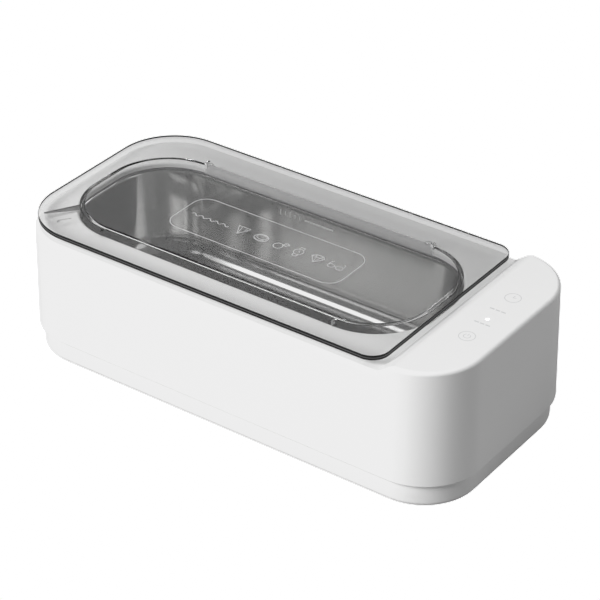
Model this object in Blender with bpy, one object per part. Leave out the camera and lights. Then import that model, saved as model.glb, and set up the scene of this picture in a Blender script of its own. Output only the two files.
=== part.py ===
"""Ultrasonic cleaner for jewellery and spectacles, as an assembly of separate parts.

A long white housing has a lowered deck over a stainless steel tank and a raised touch
panel at its right-hand end.  A smoked clear lid sits over the deck and the electronics
are underneath.  Sizes are in millimetres and become metres in finish().  +Z is up, +X
runs along the length towards the panel, -Y is the front.  The origin is on the table
surface, under the middle of the housing.
"""

import math

import bmesh
import bpy
from mathutils import Matrix, Vector

MM = 0.001
GAP = 0.3                      # clearance between neighbouring pieces
ARC = 10                       # segments in each quarter of a big corner
BEYOND = 75.0                  # height safely above the housing, for cutting tools
LEFT_BEYOND = -115.0           # safely left of the housing
HALF_BEYOND = 60.0             # safely in front of and behind the housing

# Housing outline at the panel's crest; the walls lean out towards the bottom
LENGTH_TOP = 205.0
WIDTH_TOP = 96.6
R_LEFT = 25.0
R_RIGHT = 24.3
DRAFT = 0.92                   # extra half-width at the lower edge
Z_SEAM = 11.46                 # lower edge of the housing
Z_CREST = 61.35                # top of the touch panel
Z_DECK = 56.6                  # top of the deck under the lid
T_WALL = 2.2
T_DECK = 2.0
T_PANEL = 2.2
Z_DECK_UNDER = Z_DECK - T_DECK
Z_PANEL_UNDER = Z_CREST - T_PANEL
X_UNDER_RISE = (73.4, 79.6)    # foot and head of the slope on the underside
R_EDGE = 1.5                   # rounding of the housing's top edges
R_MOUTH = 1.2                  # rounding of the tank opening's edge
Z_DECK_JOIN = Z_DECK - 0.8     # lip and bosses run up into the deck to here

# Rise from the deck to the panel
X_RISE = 72.3                  # where the rise leaves the deck
RISE_ANGLE = 36.0
R_RISE_IN = 0.8
R_RISE_OUT = 6.0
RISE_STEPS = 7                 # segments in each of its two arcs

# Tank opening: an oval with straight sides
OPEN_X0, OPEN_X1 = -93.8, 70.1
OPEN_HALF = 33.0
R_OPEN = 26.2
LIP_T = 2.0                    # wall of the down-turned lip round the opening
Z_LIP = 54.2

# Lid
LID_X0, LID_X1 = -101.7, 72.65
LID_HALF = 47.5
R_LID_LEFT, R_LID_RIGHT = 24.7, 7.5
Z_LID0, Z_LID1 = 59.3, 61.3
Z_LID_JOIN = Z_LID0 + 1.0      # ring and tabs run up into the plate to here
RING_GAP = 0.8                 # ring's outer face to the opening
RING_T = 1.6
RING_CHAMFER = 0.3
R_FLARE = 0.55                 # flare where the ring meets the plate
Z_RING = 53.9

# Tank
TANK_T = 0.6
Z_FLANGE = 52.8
FLANGE_W = 4.6
R_BEND = 1.4                   # bend from the flange into the wall
Z_FLOOR = 16.0
R_FLOOR = 8.0
TANK_DRAFT = 1.15

# Clamp frame under the tank's flange
Z_CLAMP1 = Z_FLANGE - TANK_T - GAP
Z_CLAMP0 = Z_CLAMP1 - 3.0
CLAMP_XY = [(x, y) for y in (-41.5, 41.5) for x in (-60.0, -12.0, 36.0)]

# Bottom cover
BASE_HALF_X, BASE_HALF_Y = 101.55, 47.35
R_BASE_LEFT, R_BASE_RIGHT = 24.05, 23.35
Z_BASE = 0.9
Z_BASE_TOP = Z_SEAM - GAP
Z_BASE_LIP = 15.5
Z_BASE_FLOOR = 3.3
Z_BASE_JOIN = Z_BASE + 1.2     # posts and ribs start here, inside the floor
R_BASE_EDGE = 2.5
BASE_STEP = 0.65               # how far the lip is set in from the outer wall
BASE_CHAMFER = 0.4             # on the lip's outer edge
T_BASE_WALL = 2.25
CASE_XY = [(-90.3, -35.3), (-90.3, 35.3), (66.0, -40.5), (66.0, 40.5)]
Z_POST = 19.7
Z_CASE_SEAT = 6.9              # top of the case screws' counterbores

FOOT_XY = [(x, y) for x in (-78.0, 78.0) for y in (-30.0, 30.0)]
FOOT_R = 6.0

# Transducer under the tank floor
PIEZO_X, PIEZO_R, PIEZO_T = -11.65, 25.0, 2.6
BOND_T = 0.4
Z_BOND1 = Z_FLOOR - TANK_T - GAP
Z_BOND0 = Z_BOND1 - BOND_T
Z_PIEZO1 = Z_BOND0 - GAP
Z_PIEZO0 = Z_PIEZO1 - PIEZO_T

# Driver board
PCB_X0, PCB_X1, PCB_HALF = 72.5, 97.5, 30.0
PCB_T = 1.6
Z_PCB = 8.3
Z_PCB_TOP = Z_PCB + PCB_T
Z_PARTS = Z_PCB_TOP + GAP      # underside of the components
PCB_HOLES = [(x, y) for y in (-26.5, 26.5) for x in (76.0, 94.0)]
SOCKET_H = 6.8                 # piezo and power connectors
TOUCH_SOCKET_H = 5.2
Z_PLUG = Z_PARTS + SOCKET_H + GAP      # where the leads end above the connectors
PIEZO_SOCKET = (73.4, 78.4, -4.2, 4.2)     # x0, x1, y0, y1
POWER_SOCKET = (80.4, 89.0, 23.8, 29.2)
TOUCH_SOCKET = (93.0, 97.2, -4.6, 4.6)

# Touch board under the panel
TOUCH_X0, TOUCH_X1 = 84.0, 97.0
TOUCH_Y0, TOUCH_Y1 = -25.2, 26.8
Z_TOUCH = 51.5
Z_TOUCH_TOP = Z_TOUCH + PCB_T
Z_TOUCH_PARTS = Z_TOUCH_TOP + GAP
Z_ROOF = Z_PANEL_UNDER - GAP   # highest point of the parts under the panel
TOUCH_HOLES = [(90.0, -22.4), (90.0, 24.0)]
KEY_X = 90.0
Y_POWER_KEY, Y_TIMER_KEY = -15.2, 16.7
LED_X, LED_Y = 90.0, -1.2
LED_CENTRE = (LED_X, LED_Y, 0)

# Power inlet on the back wall
JACK_X, JACK_Z = 77.0, 22.0
JACK_CENTRE = (JACK_X, 0, JACK_Z)
JACK_Y0, JACK_Y1 = 34.8, 46.3  # body
JACK_FACE = 48.7               # outer end of the barrel
LEAD_R = 0.75


# ---------------------------------------------------------------- helpers
def material(name, rgb, roughness, metallic=0.0, alpha=1.0, transmission=0.0):
    mat = bpy.data.materials.new(name)
    mat.use_nodes = True
    inputs = mat.node_tree.nodes["Principled BSDF"].inputs
    inputs["Base Color"].default_value = (*rgb, 1.0)
    inputs["Roughness"].default_value = roughness
    inputs["Metallic"].default_value = metallic
    inputs["Alpha"].default_value = alpha
    inputs["Transmission Weight"].default_value = transmission
    mat.diffuse_color = (*rgb, alpha)
    return mat


def finish(name, bm, mat, angle=35.0):
    """Make one object from a bmesh given in millimetres."""
    bmesh.ops.recalc_face_normals(bm, faces=bm.faces)
    bmesh.ops.scale(bm, vec=(MM, MM, MM), verts=bm.verts)
    mesh = bpy.data.meshes.new(name)
    bm.to_mesh(mesh)
    bm.free()
    ob = bpy.data.objects.new(name, mesh)
    bpy.context.scene.collection.objects.link(ob)
    if mat is not None:
        mesh.materials.append(mat)
    mesh.shade_smooth()
    mesh.set_sharp_from_angle(angle=math.radians(angle))
    return ob


def rounded_rect(x0, x1, half_y, r_left, r_right, z):
    """Rounded rectangle, anticlockwise from the front left corner's arc."""
    corners = (
        (x0 + r_left, -half_y + r_left, r_left, 180),
        (x1 - r_right, -half_y + r_right, r_right, 270),
        (x1 - r_right, half_y - r_right, r_right, 0),
        (x0 + r_left, half_y - r_left, r_left, 90),
    )
    points = []
    for cx, cy, radius, start in corners:
        for i in range(ARC + 1):
            a = math.radians(start + 90.0 * i / ARC)
            points.append((cx + radius * math.cos(a), cy + radius * math.sin(a), z))
    return points


def shell_loop(inset, z):
    """The housing's outline at height z, moved in by inset."""
    grow = DRAFT * (Z_CREST - z) / (Z_CREST - Z_SEAM) - inset
    return rounded_rect(-LENGTH_TOP / 2 - grow, LENGTH_TOP / 2 + grow, WIDTH_TOP / 2 + grow,
                        R_LEFT + grow, R_RIGHT + grow, z)


def oval(inset, z):
    """The tank opening's outline, moved in by inset."""
    return rounded_rect(OPEN_X0 + inset, OPEN_X1 - inset, OPEN_HALF - inset,
                        R_OPEN - inset, R_OPEN - inset, z)


def base_loop(inset, z):
    """The bottom cover's outline, moved in by inset."""
    return rounded_rect(-BASE_HALF_X + inset, BASE_HALF_X - inset, BASE_HALF_Y - inset,
                        R_BASE_LEFT - inset, R_BASE_RIGHT - inset, z)


def lid_loop(inset, z):
    """The lid plate's outline, moved in by inset."""
    return rounded_rect(LID_X0 + inset, LID_X1 - inset, LID_HALF - inset,
                        R_LID_LEFT - inset, R_LID_RIGHT - inset, z)


def loft(loops, closed=False):
    """Skin loops that have the same number of points; cap the ends or close the ring."""
    bm = bmesh.new()
    rings = [[bm.verts.new(p) for p in loop] for loop in loops]
    pairs = list(zip(rings, rings[1:]))
    if closed:
        pairs.append((rings[-1], rings[0]))
    for a, b in pairs:
        for i in range(len(a)):
            j = (i + 1) % len(a)
            bm.faces.new((a[i], a[j], b[j], b[i]))
    if not closed:
        bm.faces.new(list(reversed(rings[0])))
        bm.faces.new(rings[-1])
    return bm


def prism(outline, half_width):
    """Extrude a closed (x, z) outline along Y, to both sides of Y = 0."""
    return loft([[(x, y, z) for x, z in outline] for y in (-half_width, half_width)])


def box(x0, x1, y0, y1, z0, z1, bevel=0.0, segments=1):
    bm = bmesh.new()
    bmesh.ops.create_cube(bm, size=1.0)
    for v in bm.verts:
        v.co = Vector((x0 if v.co.x < 0 else x1,
                       y0 if v.co.y < 0 else y1,
                       z0 if v.co.z < 0 else z1))
    if bevel:
        bmesh.ops.bevel(bm, geom=list(bm.edges), offset=bevel, segments=segments,
                        profile=0.5, affect="EDGES")
    return bm


def turned(profile, centre, segments, along_y=False):
    """Revolve (radius, height) points; points of radius 0 become poles."""
    bm = bmesh.new()
    rings = []
    for radius, height in profile:
        if radius < 1e-6:
            rings.append([bm.verts.new((0, 0, height))])
            continue
        angles = [2 * math.pi * i / segments for i in range(segments)]
        rings.append([bm.verts.new((radius * math.cos(a), radius * math.sin(a), height))
                      for a in angles])
    pairs = list(zip(rings, rings[1:]))
    if len(rings[0]) > 1 and len(rings[-1]) > 1:
        pairs.append((rings[-1], rings[0]))
    for a, b in pairs:
        for i in range(segments):
            j = (i + 1) % segments
            if len(a) == 1:
                bm.faces.new((a[0], b[i], b[j]))
            elif len(b) == 1:
                bm.faces.new((a[i], a[j], b[0]))
            else:
                bm.faces.new((a[i], a[j], b[j], b[i]))
    if along_y:
        turn = Matrix.Rotation(math.radians(-90), 3, "X")
        bmesh.ops.rotate(bm, matrix=turn, verts=bm.verts)
    bmesh.ops.translate(bm, vec=centre, verts=bm.verts)
    return bm


def cylinder(centre, low, high, radius, segments, along_y=False):
    profile = [(0, low), (radius, low), (radius, high), (0, high)]
    return turned(profile, centre, segments, along_y)


def cylinders(places, low, high, radius, segments):
    """One upright cylinder at each (x, y) place."""
    return [cylinder((x, y, 0), low, high, radius, segments) for x, y in places]


def tube(points, radius, sides=8, steps=6):
    """Round wire along a smooth path through the given points."""
    pts = [Vector(p) for p in points]
    ext = [2 * pts[0] - pts[1]] + pts + [2 * pts[-1] - pts[-2]]
    path = []
    for i in range(1, len(ext) - 2):
        p0, p1, p2, p3 = ext[i - 1:i + 3]
        for k in range(steps):
            t = k / steps
            path.append(0.5 * ((2 * p1) + (p2 - p0) * t
                               + (2 * p0 - 5 * p1 + 4 * p2 - p3) * t * t
                               + (3 * p1 - p0 - 3 * p2 + p3) * t ** 3))
    path.append(pts[-1])
    angles = [2 * math.pi * k / sides for k in range(sides)]
    loops = []
    side = None
    for i, p in enumerate(path):
        along = (path[min(i + 1, len(path) - 1)] - path[max(i - 1, 0)]).normalized()
        if side is None:
            side = along.orthogonal().normalized()
        side = (side - along * side.dot(along)).normalized()
        up = along.cross(side)
        loops.append([p + radius * (math.cos(a) * side + math.sin(a) * up) for a in angles])
    return loft(loops)


def cut(ob, tools, operation="DIFFERENCE"):
    """Apply Boolean modifiers with helper solids, then remove the helpers."""
    helpers = []
    for i, bm in enumerate(tools):
        helper = finish(f"{ob.name}_tool_{i}", bm, None)
        helper.hide_render = True
        helper.display_type = "WIRE"
        helpers.append(helper)
        mod = ob.modifiers.new(f"{operation.lower()}_{i}", "BOOLEAN")
        mod.operation = operation
        mod.solver = "EXACT"
        mod.object = helper
    mats = list(ob.data.materials)
    depsgraph = bpy.context.evaluated_depsgraph_get()
    mesh = bpy.data.meshes.new_from_object(ob.evaluated_get(depsgraph))
    ob.modifiers.clear()
    ob.data = mesh
    mesh.materials.clear()
    for mat in mats:
        mesh.materials.append(mat)
    for polygon in mesh.polygons:
        polygon.material_index = 0
    for helper in helpers:
        bpy.data.objects.remove(helper, do_unlink=True)


def join(ob, solids):
    cut(ob, solids, "UNION")


def tidy(ob, angle=35.0):
    """Merge the Booleans' stray vertices and shade again."""
    bm = bmesh.new()
    bm.from_mesh(ob.data)
    bmesh.ops.remove_doubles(bm, verts=bm.verts, dist=2e-6)
    bmesh.ops.dissolve_degenerate(bm, edges=bm.edges, dist=1e-6)
    bm.to_mesh(ob.data)
    bm.free()
    ob.data.shade_smooth()
    ob.data.set_sharp_from_angle(angle=math.radians(angle))


def round_edges(ob, pick, width, segments):
    """Bevel the edges that pick(edge, face_a, face_b) accepts; width in millimetres."""
    bm = bmesh.new()
    bm.from_mesh(ob.data)
    bmesh.ops.remove_doubles(bm, verts=bm.verts, dist=2e-6)
    bm.normal_update()
    edges = [e for e in bm.edges if len(e.link_faces) == 2 and pick(e, *e.link_faces)]
    bmesh.ops.bevel(bm, geom=edges, offset=width * MM, segments=segments,
                    profile=0.5, affect="EDGES")
    bm.to_mesh(ob.data)
    bm.free()


# ---------------------------------------------------------------- materials
for old in list(bpy.data.objects):
    bpy.data.objects.remove(old, do_unlink=True)

WHITE = material("white_abs", (0.86, 0.86, 0.855), roughness=0.38)
WHITE_BASE = material("white_abs_base", (0.84, 0.84, 0.835), roughness=0.42)
SMOKE = material("smoked_clear_plastic", (0.55, 0.56, 0.57), roughness=0.06,
                 alpha=0.35, transmission=0.9)
STEEL = material("stainless_sheet", (0.62, 0.62, 0.61), roughness=0.28, metallic=1.0)
SILICONE = material("grey_silicone", (0.42, 0.43, 0.44), roughness=0.6)
GREY_ABS = material("grey_abs", (0.25, 0.26, 0.27), roughness=0.5)
ZINC = material("zinc_plated_screw", (0.66, 0.66, 0.68), roughness=0.3, metallic=1.0)
CERAMIC = material("piezo_ceramic", (0.72, 0.69, 0.6), roughness=0.35)
EPOXY = material("epoxy_bond", (0.16, 0.17, 0.15), roughness=0.45)
PCB_GREEN = material("circuit_board", (0.03, 0.2, 0.09), roughness=0.4)
FERRITE = material("ferrite", (0.06, 0.06, 0.065), roughness=0.55)
COPPER = material("enamelled_copper", (0.62, 0.28, 0.1), roughness=0.3, metallic=0.9)
BLACK_PLASTIC = material("black_moulding", (0.02, 0.02, 0.022), roughness=0.45)
ALUMINIUM = material("extruded_aluminium", (0.7, 0.71, 0.72), roughness=0.35, metallic=1.0)
CAP_BLUE = material("capacitor_sleeve", (0.03, 0.06, 0.2), roughness=0.35)
CAP_YELLOW = material("film_capacitor_box", (0.7, 0.52, 0.08), roughness=0.4)
NYLON = material("connector_nylon", (0.85, 0.83, 0.76), roughness=0.45)
RED_WIRE = material("red_wire", (0.55, 0.03, 0.03), roughness=0.4)
BLACK_WIRE = material("black_wire", (0.02, 0.02, 0.02), roughness=0.4)
GREY_FLEX = material("flat_cable", (0.5, 0.52, 0.55), roughness=0.4)
SPRING = material("spring_steel", (0.7, 0.7, 0.68), roughness=0.25, metallic=1.0)
LENS = material("light_pipe_acrylic", (0.95, 0.97, 1.0), roughness=0.1,
                alpha=0.6, transmission=0.6)
LED_EPOXY = material("led_epoxy", (0.9, 0.93, 1.0), roughness=0.2)
RUBBER = material("foot_rubber", (0.12, 0.12, 0.125), roughness=0.75)


# ---------------------------------------------------------------- upper housing
def rise_profile():
    """(x, z) points of the curve from the deck up to the panel's crest."""
    slope = math.radians(RISE_ANGLE)
    in_arcs = (R_RISE_IN + R_RISE_OUT) * (1 - math.cos(slope))
    straight = (Z_CREST - Z_DECK - in_arcs) / math.sin(slope)
    points = []
    for i in range(RISE_STEPS + 1):
        a = slope * i / RISE_STEPS
        points.append((X_RISE + R_RISE_IN * math.sin(a), Z_DECK + R_RISE_IN * (1 - math.cos(a))))
    x, z = points[-1]
    x += straight * math.cos(slope)
    z += straight * math.sin(slope)
    cx = x + R_RISE_OUT * math.sin(slope)
    cz = z - R_RISE_OUT * math.cos(slope)
    for i in range(RISE_STEPS + 1):
        a = slope * (1 - i / RISE_STEPS)
        points.append((cx - R_RISE_OUT * math.sin(a), cz + R_RISE_OUT * math.cos(a)))
    return points


def is_top_edge(edge, face_a, face_b):
    """Edge between the outer wall and the deck, rise or panel."""
    low, high = sorted((face_a, face_b), key=lambda face: face.normal.z)
    mid = (edge.verts[0].co + edge.verts[1].co) / 2 / MM
    return abs(low.normal.z) < 0.1 and high.normal.z > 0.3 and mid.z > Z_DECK - 1


def is_mouth_edge(edge, face_a, face_b):
    """Edge between the deck and the wall of the tank opening."""
    ends = [v.co / MM for v in edge.verts]
    low, high = sorted((face_a.normal.z, face_b.normal.z))
    return abs(low) < 0.1 and high > 0.9 and all(
        abs(p.z - Z_DECK) < 0.05
        and OPEN_X0 - 0.1 < p.x < OPEN_X1 + 0.1
        and abs(p.y) < OPEN_HALF + 0.1
        for p in ends)


def hollow():
    """The space inside the housing, open at the bottom, as a bmesh."""
    ob = finish("housing_hollow", loft([shell_loop(T_WALL, Z_SEAM - 5),
                                        shell_loop(T_WALL, Z_PANEL_UNDER)]), None)
    foot, head = X_UNDER_RISE
    cut(ob, [prism([(LEFT_BEYOND, Z_DECK_UNDER), (foot, Z_DECK_UNDER), (head, Z_PANEL_UNDER),
                    (head, BEYOND), (LEFT_BEYOND, BEYOND)], HALF_BEYOND)])
    bm = bmesh.new()
    bm.from_mesh(ob.data)
    bmesh.ops.scale(bm, vec=(1 / MM,) * 3, verts=bm.verts)
    bpy.data.objects.remove(ob, do_unlink=True)
    return bm


def build_housing():
    housing = finish("upper_housing", loft([
        shell_loop(0.6, Z_SEAM), shell_loop(0.18, Z_SEAM + 0.18),
        shell_loop(0.0, Z_SEAM + 0.6), shell_loop(0.0, Z_CREST)]), WHITE)
    rise = rise_profile()
    above = [(LEFT_BEYOND, Z_DECK)] + rise + [(rise[-1][0], BEYOND), (LEFT_BEYOND, BEYOND)]
    cut(housing, [prism(above, HALF_BEYOND)])
    round_edges(housing, is_top_edge, R_EDGE, 4)
    cut(housing, [hollow()])

    # Down-turned lip round the opening, then the screw bosses
    adds = [loft([oval(-LIP_T, Z_LIP), oval(-LIP_T, Z_DECK_JOIN)])]
    adds += cylinders(CLAMP_XY, Z_CLAMP1 + GAP, Z_DECK_JOIN, 2.8, 14)
    adds += cylinders(CASE_XY, Z_POST + GAP, Z_DECK_JOIN, 3.0, 16)
    adds += cylinders(TOUCH_HOLES, Z_TOUCH_PARTS, Z_CREST - 1.0, 2.0, 14)
    join(housing, adds)

    # Tank opening, screw holes, then the light pipe's and the inlet's holes
    cuts = [loft([oval(0.0, Z_LIP - 2), oval(0.0, Z_DECK + 10)])]
    cuts += cylinders(CLAMP_XY, Z_CLAMP1 - 1, 54.9, 1.5, 12)
    cuts += cylinders(CASE_XY, Z_POST - 1, 33.0, 1.75, 12)
    cuts += cylinders(TOUCH_HOLES, Z_TOUCH, 58.6, 1.15, 12)
    cuts.append(cylinder(LED_CENTRE, 55.0, 70.0, 0.95, 16))
    cuts.append(cylinder(JACK_CENTRE, 40.0, 60.0, 4.0, 24, along_y=True))
    cut(housing, cuts)
    round_edges(housing, is_mouth_edge, R_MOUTH, 3)
    tidy(housing, 30.0)


# ---------------------------------------------------------------- bottom cover
# Upright ribs round the inlet: y0, y1, half-length in x, top below the inlet's axis.
# Two pass under its body and one stands at its inner end.
JACK_RIBS = [(37.2, 38.8, 4.4, 5.3), (42.8, 44.4, 4.4, 5.3), (32.6, 34.4, 3.4, 1.0)]


def build_base():
    loops = []
    for i in range(5):
        a = math.radians(90 * i / 4)
        loops.append(base_loop(R_BASE_EDGE * (1 - math.sin(a)),
                               Z_BASE + R_BASE_EDGE * (1 - math.cos(a))))
    loops += [base_loop(0.0, Z_BASE_TOP), base_loop(BASE_STEP, Z_BASE_TOP),
              base_loop(BASE_STEP, Z_BASE_LIP - BASE_CHAMFER),
              base_loop(BASE_STEP + BASE_CHAMFER, Z_BASE_LIP),
              base_loop(T_BASE_WALL, Z_BASE_LIP), base_loop(T_BASE_WALL, Z_BASE_FLOOR)]
    base = finish("bottom_cover", loft(loops), WHITE_BASE)

    adds = cylinders(CASE_XY, Z_BASE_JOIN, Z_POST, 4.0, 20)
    adds += cylinders(PCB_HOLES, Z_BASE_JOIN, Z_PCB - GAP, 2.6, 14)
    for y0, y1, half, drop in JACK_RIBS:
        adds.append(box(JACK_X - half, JACK_X + half, y0, y1, Z_BASE_JOIN, JACK_Z - drop))
    join(base, adds)

    cuts = []
    for place in CASE_XY:
        cuts += cylinders([place], Z_BASE - 1, Z_CASE_SEAT, 3.3, 20)
        cuts += cylinders([place], 6.0, Z_POST + 1, 1.8, 12)
    cuts += cylinders(FOOT_XY, Z_BASE - 1, 2.1, FOOT_R + GAP, 24)
    cuts += cylinders(PCB_HOLES, 4.0, Z_PCB + 1, 1.25, 12)
    cut(base, cuts)
    tidy(base, 30.0)


def build_feet():
    profile = [(0, 0), (FOOT_R - 0.7, 0), (FOOT_R - 0.2, 0.2), (FOOT_R, 0.7),
               (FOOT_R, 1.8), (0, 1.8)]
    for i, (x, y) in enumerate(FOOT_XY, 1):
        finish(f"foot_{i}", turned(profile, (x, y, 0), 28), RUBBER)


# ---------------------------------------------------------------- lid
def lid_ring():
    """Locating ring; its outer face flares into the plate."""
    inner = RING_GAP + RING_T
    loops = [oval(RING_GAP - R_FLARE, Z_LID_JOIN)]
    for i in range(4):
        a = math.radians(90 * i / 3)
        loops.append(oval(RING_GAP - R_FLARE * (1 - math.sin(a)),
                          Z_LID0 - R_FLARE * (1 - math.cos(a))))
    loops += [oval(RING_GAP, Z_RING + RING_CHAMFER), oval(RING_GAP + RING_CHAMFER, Z_RING),
              oval(inner - RING_CHAMFER, Z_RING), oval(inner, Z_RING + RING_CHAMFER),
              oval(inner, Z_LID_JOIN)]
    return loft(loops, closed=True)


def lid_tabs():
    """Four stand-off tabs outside the ring, just clear of the deck."""
    ring_y = OPEN_HALF - RING_GAP
    tabs = []
    for x in (-67.0, 43.8):
        for side in (-1, 1):
            y0, y1 = sorted((side * (ring_y - 0.8), side * (ring_y + 2.6)))
            tabs.append(box(x - 0.6, x + 0.6, y0, y1, Z_DECK + GAP, Z_LID_JOIN))
    return tabs


def lid_rib():
    """Thin tapering rib from the ring towards the plate's front left corner."""
    start, end = -1.5, 14.2
    rib = prism([(start, Z_LID0 + 0.6), (end, Z_LID0 + 0.6), (end, Z_LID0 - 0.3),
                 (start, Z_LID0 - 2.2)], 0.35)
    turn = Matrix.Rotation(math.radians(240.0), 3, "Z")
    bmesh.ops.rotate(rib, matrix=turn, verts=rib.verts)
    bmesh.ops.translate(rib, vec=(-87.1, -24.6, 0), verts=rib.verts)
    return rib


def build_lid():
    lid = finish("lid", loft([
        lid_loop(0.2, Z_LID0), lid_loop(0.06, Z_LID0 + 0.06), lid_loop(0.0, Z_LID0 + 0.2),
        lid_loop(0.0, Z_LID1 - 0.3), lid_loop(0.09, Z_LID1 - 0.09), lid_loop(0.3, Z_LID1),
    ]), SMOKE)
    join(lid, [lid_ring(), *lid_tabs(), lid_rib()])
    tidy(lid, 30.0)
    return lid


def add_lid_lift(lid):
    """Parent the lid to an empty on its underside; the lid lifts straight off."""
    lift = bpy.data.objects.new("lid_lift", None)
    lift.location = ((LID_X0 + LID_X1) / 2 * MM, 0, Z_LID0 * MM)
    bpy.context.scene.collection.objects.link(lift)
    lid.parent = lift
    lid.matrix_parent_inverse = Matrix.Translation(lift.location).inverted()


# ---------------------------------------------------------------- tank, gasket, clamp frame
def sheet_loops(offset):
    """Loops down one face of the tank's sheet; offset is the distance outwards."""
    points = [(-FLANGE_W, Z_FLANGE - offset), (-R_BEND, Z_FLANGE - offset)]
    bend = R_BEND - offset
    for i in range(1, 4):
        a = math.radians(90 * i / 3)
        points.append((-R_BEND + bend * math.sin(a), Z_FLANGE - R_BEND + bend * math.cos(a)))
    radius = R_FLOOR + offset
    for i in range(7):
        a = math.radians(90 * i / 6)
        points.append((TANK_DRAFT + R_FLOOR - radius * math.cos(a),
                       Z_FLOOR + R_FLOOR - radius * math.sin(a)))
    return [oval(inset, z) for inset, z in points]


def build_tank():
    outside = sheet_loops(TANK_T)
    finish("tank", loft(outside[::-1] + sheet_loops(0.0)), STEEL, 40.0)


def flat_ring(inner, outer, z0, z1):
    """Flat oval ring whose two faces lie inner and outer beyond the opening."""
    return loft([oval(-inner, z0), oval(-outer, z0), oval(-outer, z1), oval(-inner, z1)],
                closed=True)


def build_gasket():
    finish("tank_gasket", flat_ring(0.3, 3.6, Z_FLANGE + GAP, Z_LIP - GAP), SILICONE)


def build_clamp():
    clamp = finish("tank_clamp_frame", flat_ring(1.0, 5.4, Z_CLAMP0, Z_CLAMP1), GREY_ABS)
    # The ears are a hair thinner than the ring, so no faces coincide
    join(clamp, cylinders(CLAMP_XY, Z_CLAMP0 + 0.001, Z_CLAMP1 - 0.001, 4.0, 20))
    cut(clamp, cylinders(CLAMP_XY, Z_CLAMP0 - 2, Z_CLAMP1 + 2, 1.6, 12))
    tidy(clamp)


# ---------------------------------------------------------------- screws
def build_screws(name, places, seat, tip, shaft_r, head_r, head_h):
    """Pan-head screws with a crossed recess; the head's bearing face is at seat."""
    way = 1 if tip > seat else -1
    end = seat - way * head_h
    profile = [(0, end), (head_r * 0.62, end), (head_r * 0.9, end + way * head_h * 0.25),
               (head_r, end + way * head_h * 0.6), (head_r, seat), (shaft_r, seat),
               (shaft_r, tip - way * shaft_r), (shaft_r * 0.35, tip), (0, tip)]
    half_w, half_l = head_r * 0.16, head_r * 0.6
    z0, z1 = sorted((end - way * 1.0, end + way * head_h * 0.55))
    for i, (x, y) in enumerate(places, 1):
        screw = finish(f"{name}_{i}", turned(profile, (x, y, 0), 16), ZINC)
        cut(screw, [box(x - half_l, x + half_l, y - half_w, y + half_w, z0, z1),
                    box(x - half_w, x + half_w, y - half_l, y + half_l, z0, z1)])
        tidy(screw)


def build_all_screws():
    build_screws("clamp_screw", CLAMP_XY, seat=Z_CLAMP0 - GAP, tip=54.5,
                 shaft_r=1.2, head_r=2.7, head_h=1.8)
    build_screws("case_screw", CASE_XY, seat=Z_CASE_SEAT - GAP, tip=32.0,
                 shaft_r=1.45, head_r=2.9, head_h=2.1)
    build_screws("board_screw", PCB_HOLES, seat=Z_PARTS, tip=4.6,
                 shaft_r=0.95, head_r=2.2, head_h=1.4)
    build_screws("touch_board_screw", TOUCH_HOLES, seat=Z_TOUCH - GAP, tip=58.2,
                 shaft_r=0.85, head_r=1.8, head_h=1.2)


# ---------------------------------------------------------------- transducer
def build_transducer():
    centre = (PIEZO_X, 0, 0)
    finish("transducer_bond", cylinder(centre, Z_BOND0, Z_BOND1, PIEZO_R - 0.6, 40), EPOXY)
    edge = 0.3
    finish("piezo_disc", turned([
        (0, Z_PIEZO0), (PIEZO_R - edge, Z_PIEZO0), (PIEZO_R, Z_PIEZO0 + edge),
        (PIEZO_R, Z_PIEZO1 - edge), (PIEZO_R - edge, Z_PIEZO1), (0, Z_PIEZO1),
    ], centre, 48), CERAMIC)


# ---------------------------------------------------------------- driver board
# Profiles of the turned parts: radius, height above the parts' underside
WINDING = [(4.35, 2.8), (6.2, 2.8), (6.2, 3.5), (6.0, 3.7), (6.0, 12.3), (6.2, 12.5),
           (6.2, 13.2), (4.35, 13.2)]
INDUCTOR = [(0, 0), (5.4, 0), (5.4, 1.4), (4.9, 1.6), (4.9, 9.4), (5.4, 9.6), (5.4, 11.0),
            (1.2, 11.0), (1.2, 8.0), (0, 8.0)]
BULK_CAPACITOR = [(0, 0), (4.7, 0), (5.0, 0.3), (5.0, 1.3), (4.7, 1.7), (5.0, 2.1),
                  (5.0, 15.4), (4.6, 15.9), (3.6, 15.9), (3.5, 15.7), (0, 15.7)]
TRANSFORMER_X, TRANSFORMER_Y = 86.0, -13.0


def raised(profile, base):
    """The profile with its heights measured from base."""
    return [(radius, base + height) for radius, height in profile]


def board_part(x0, x1, y0, y1, low, high, bevel=0.0, segments=1):
    """Box whose heights are measured from the underside of the driver board's parts."""
    return box(x0, x1, y0, y1, Z_PARTS + low, Z_PARTS + high, bevel, segments)


def build_driver_board():
    board = finish("driver_board", box(PCB_X0, PCB_X1, -PCB_HALF, PCB_HALF,
                                       Z_PCB, Z_PCB_TOP), PCB_GREEN)
    cut(board, cylinders(PCB_HOLES, Z_PCB - 1, Z_PCB_TOP + 1, 1.25, 12))


def build_transformer():
    """E-core pair with the winding round its middle leg."""
    x, y = TRANSFORMER_X, TRANSFORMER_Y
    core = finish("transformer_core",
                  board_part(x - 9, x + 9, y - 3.2, y + 3.2, 0, 16, 0.3), FERRITE)
    cut(core, [board_part(x - 6.6, x - 2.3, y - 5, y + 5, 2.4, 13.6),
               board_part(x + 2.3, x + 6.6, y - 5, y + 5, 2.4, 13.6)])
    finish("transformer_winding", turned(raised(WINDING, Z_PARTS), (x, y, 0), 24), COPPER)


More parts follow.
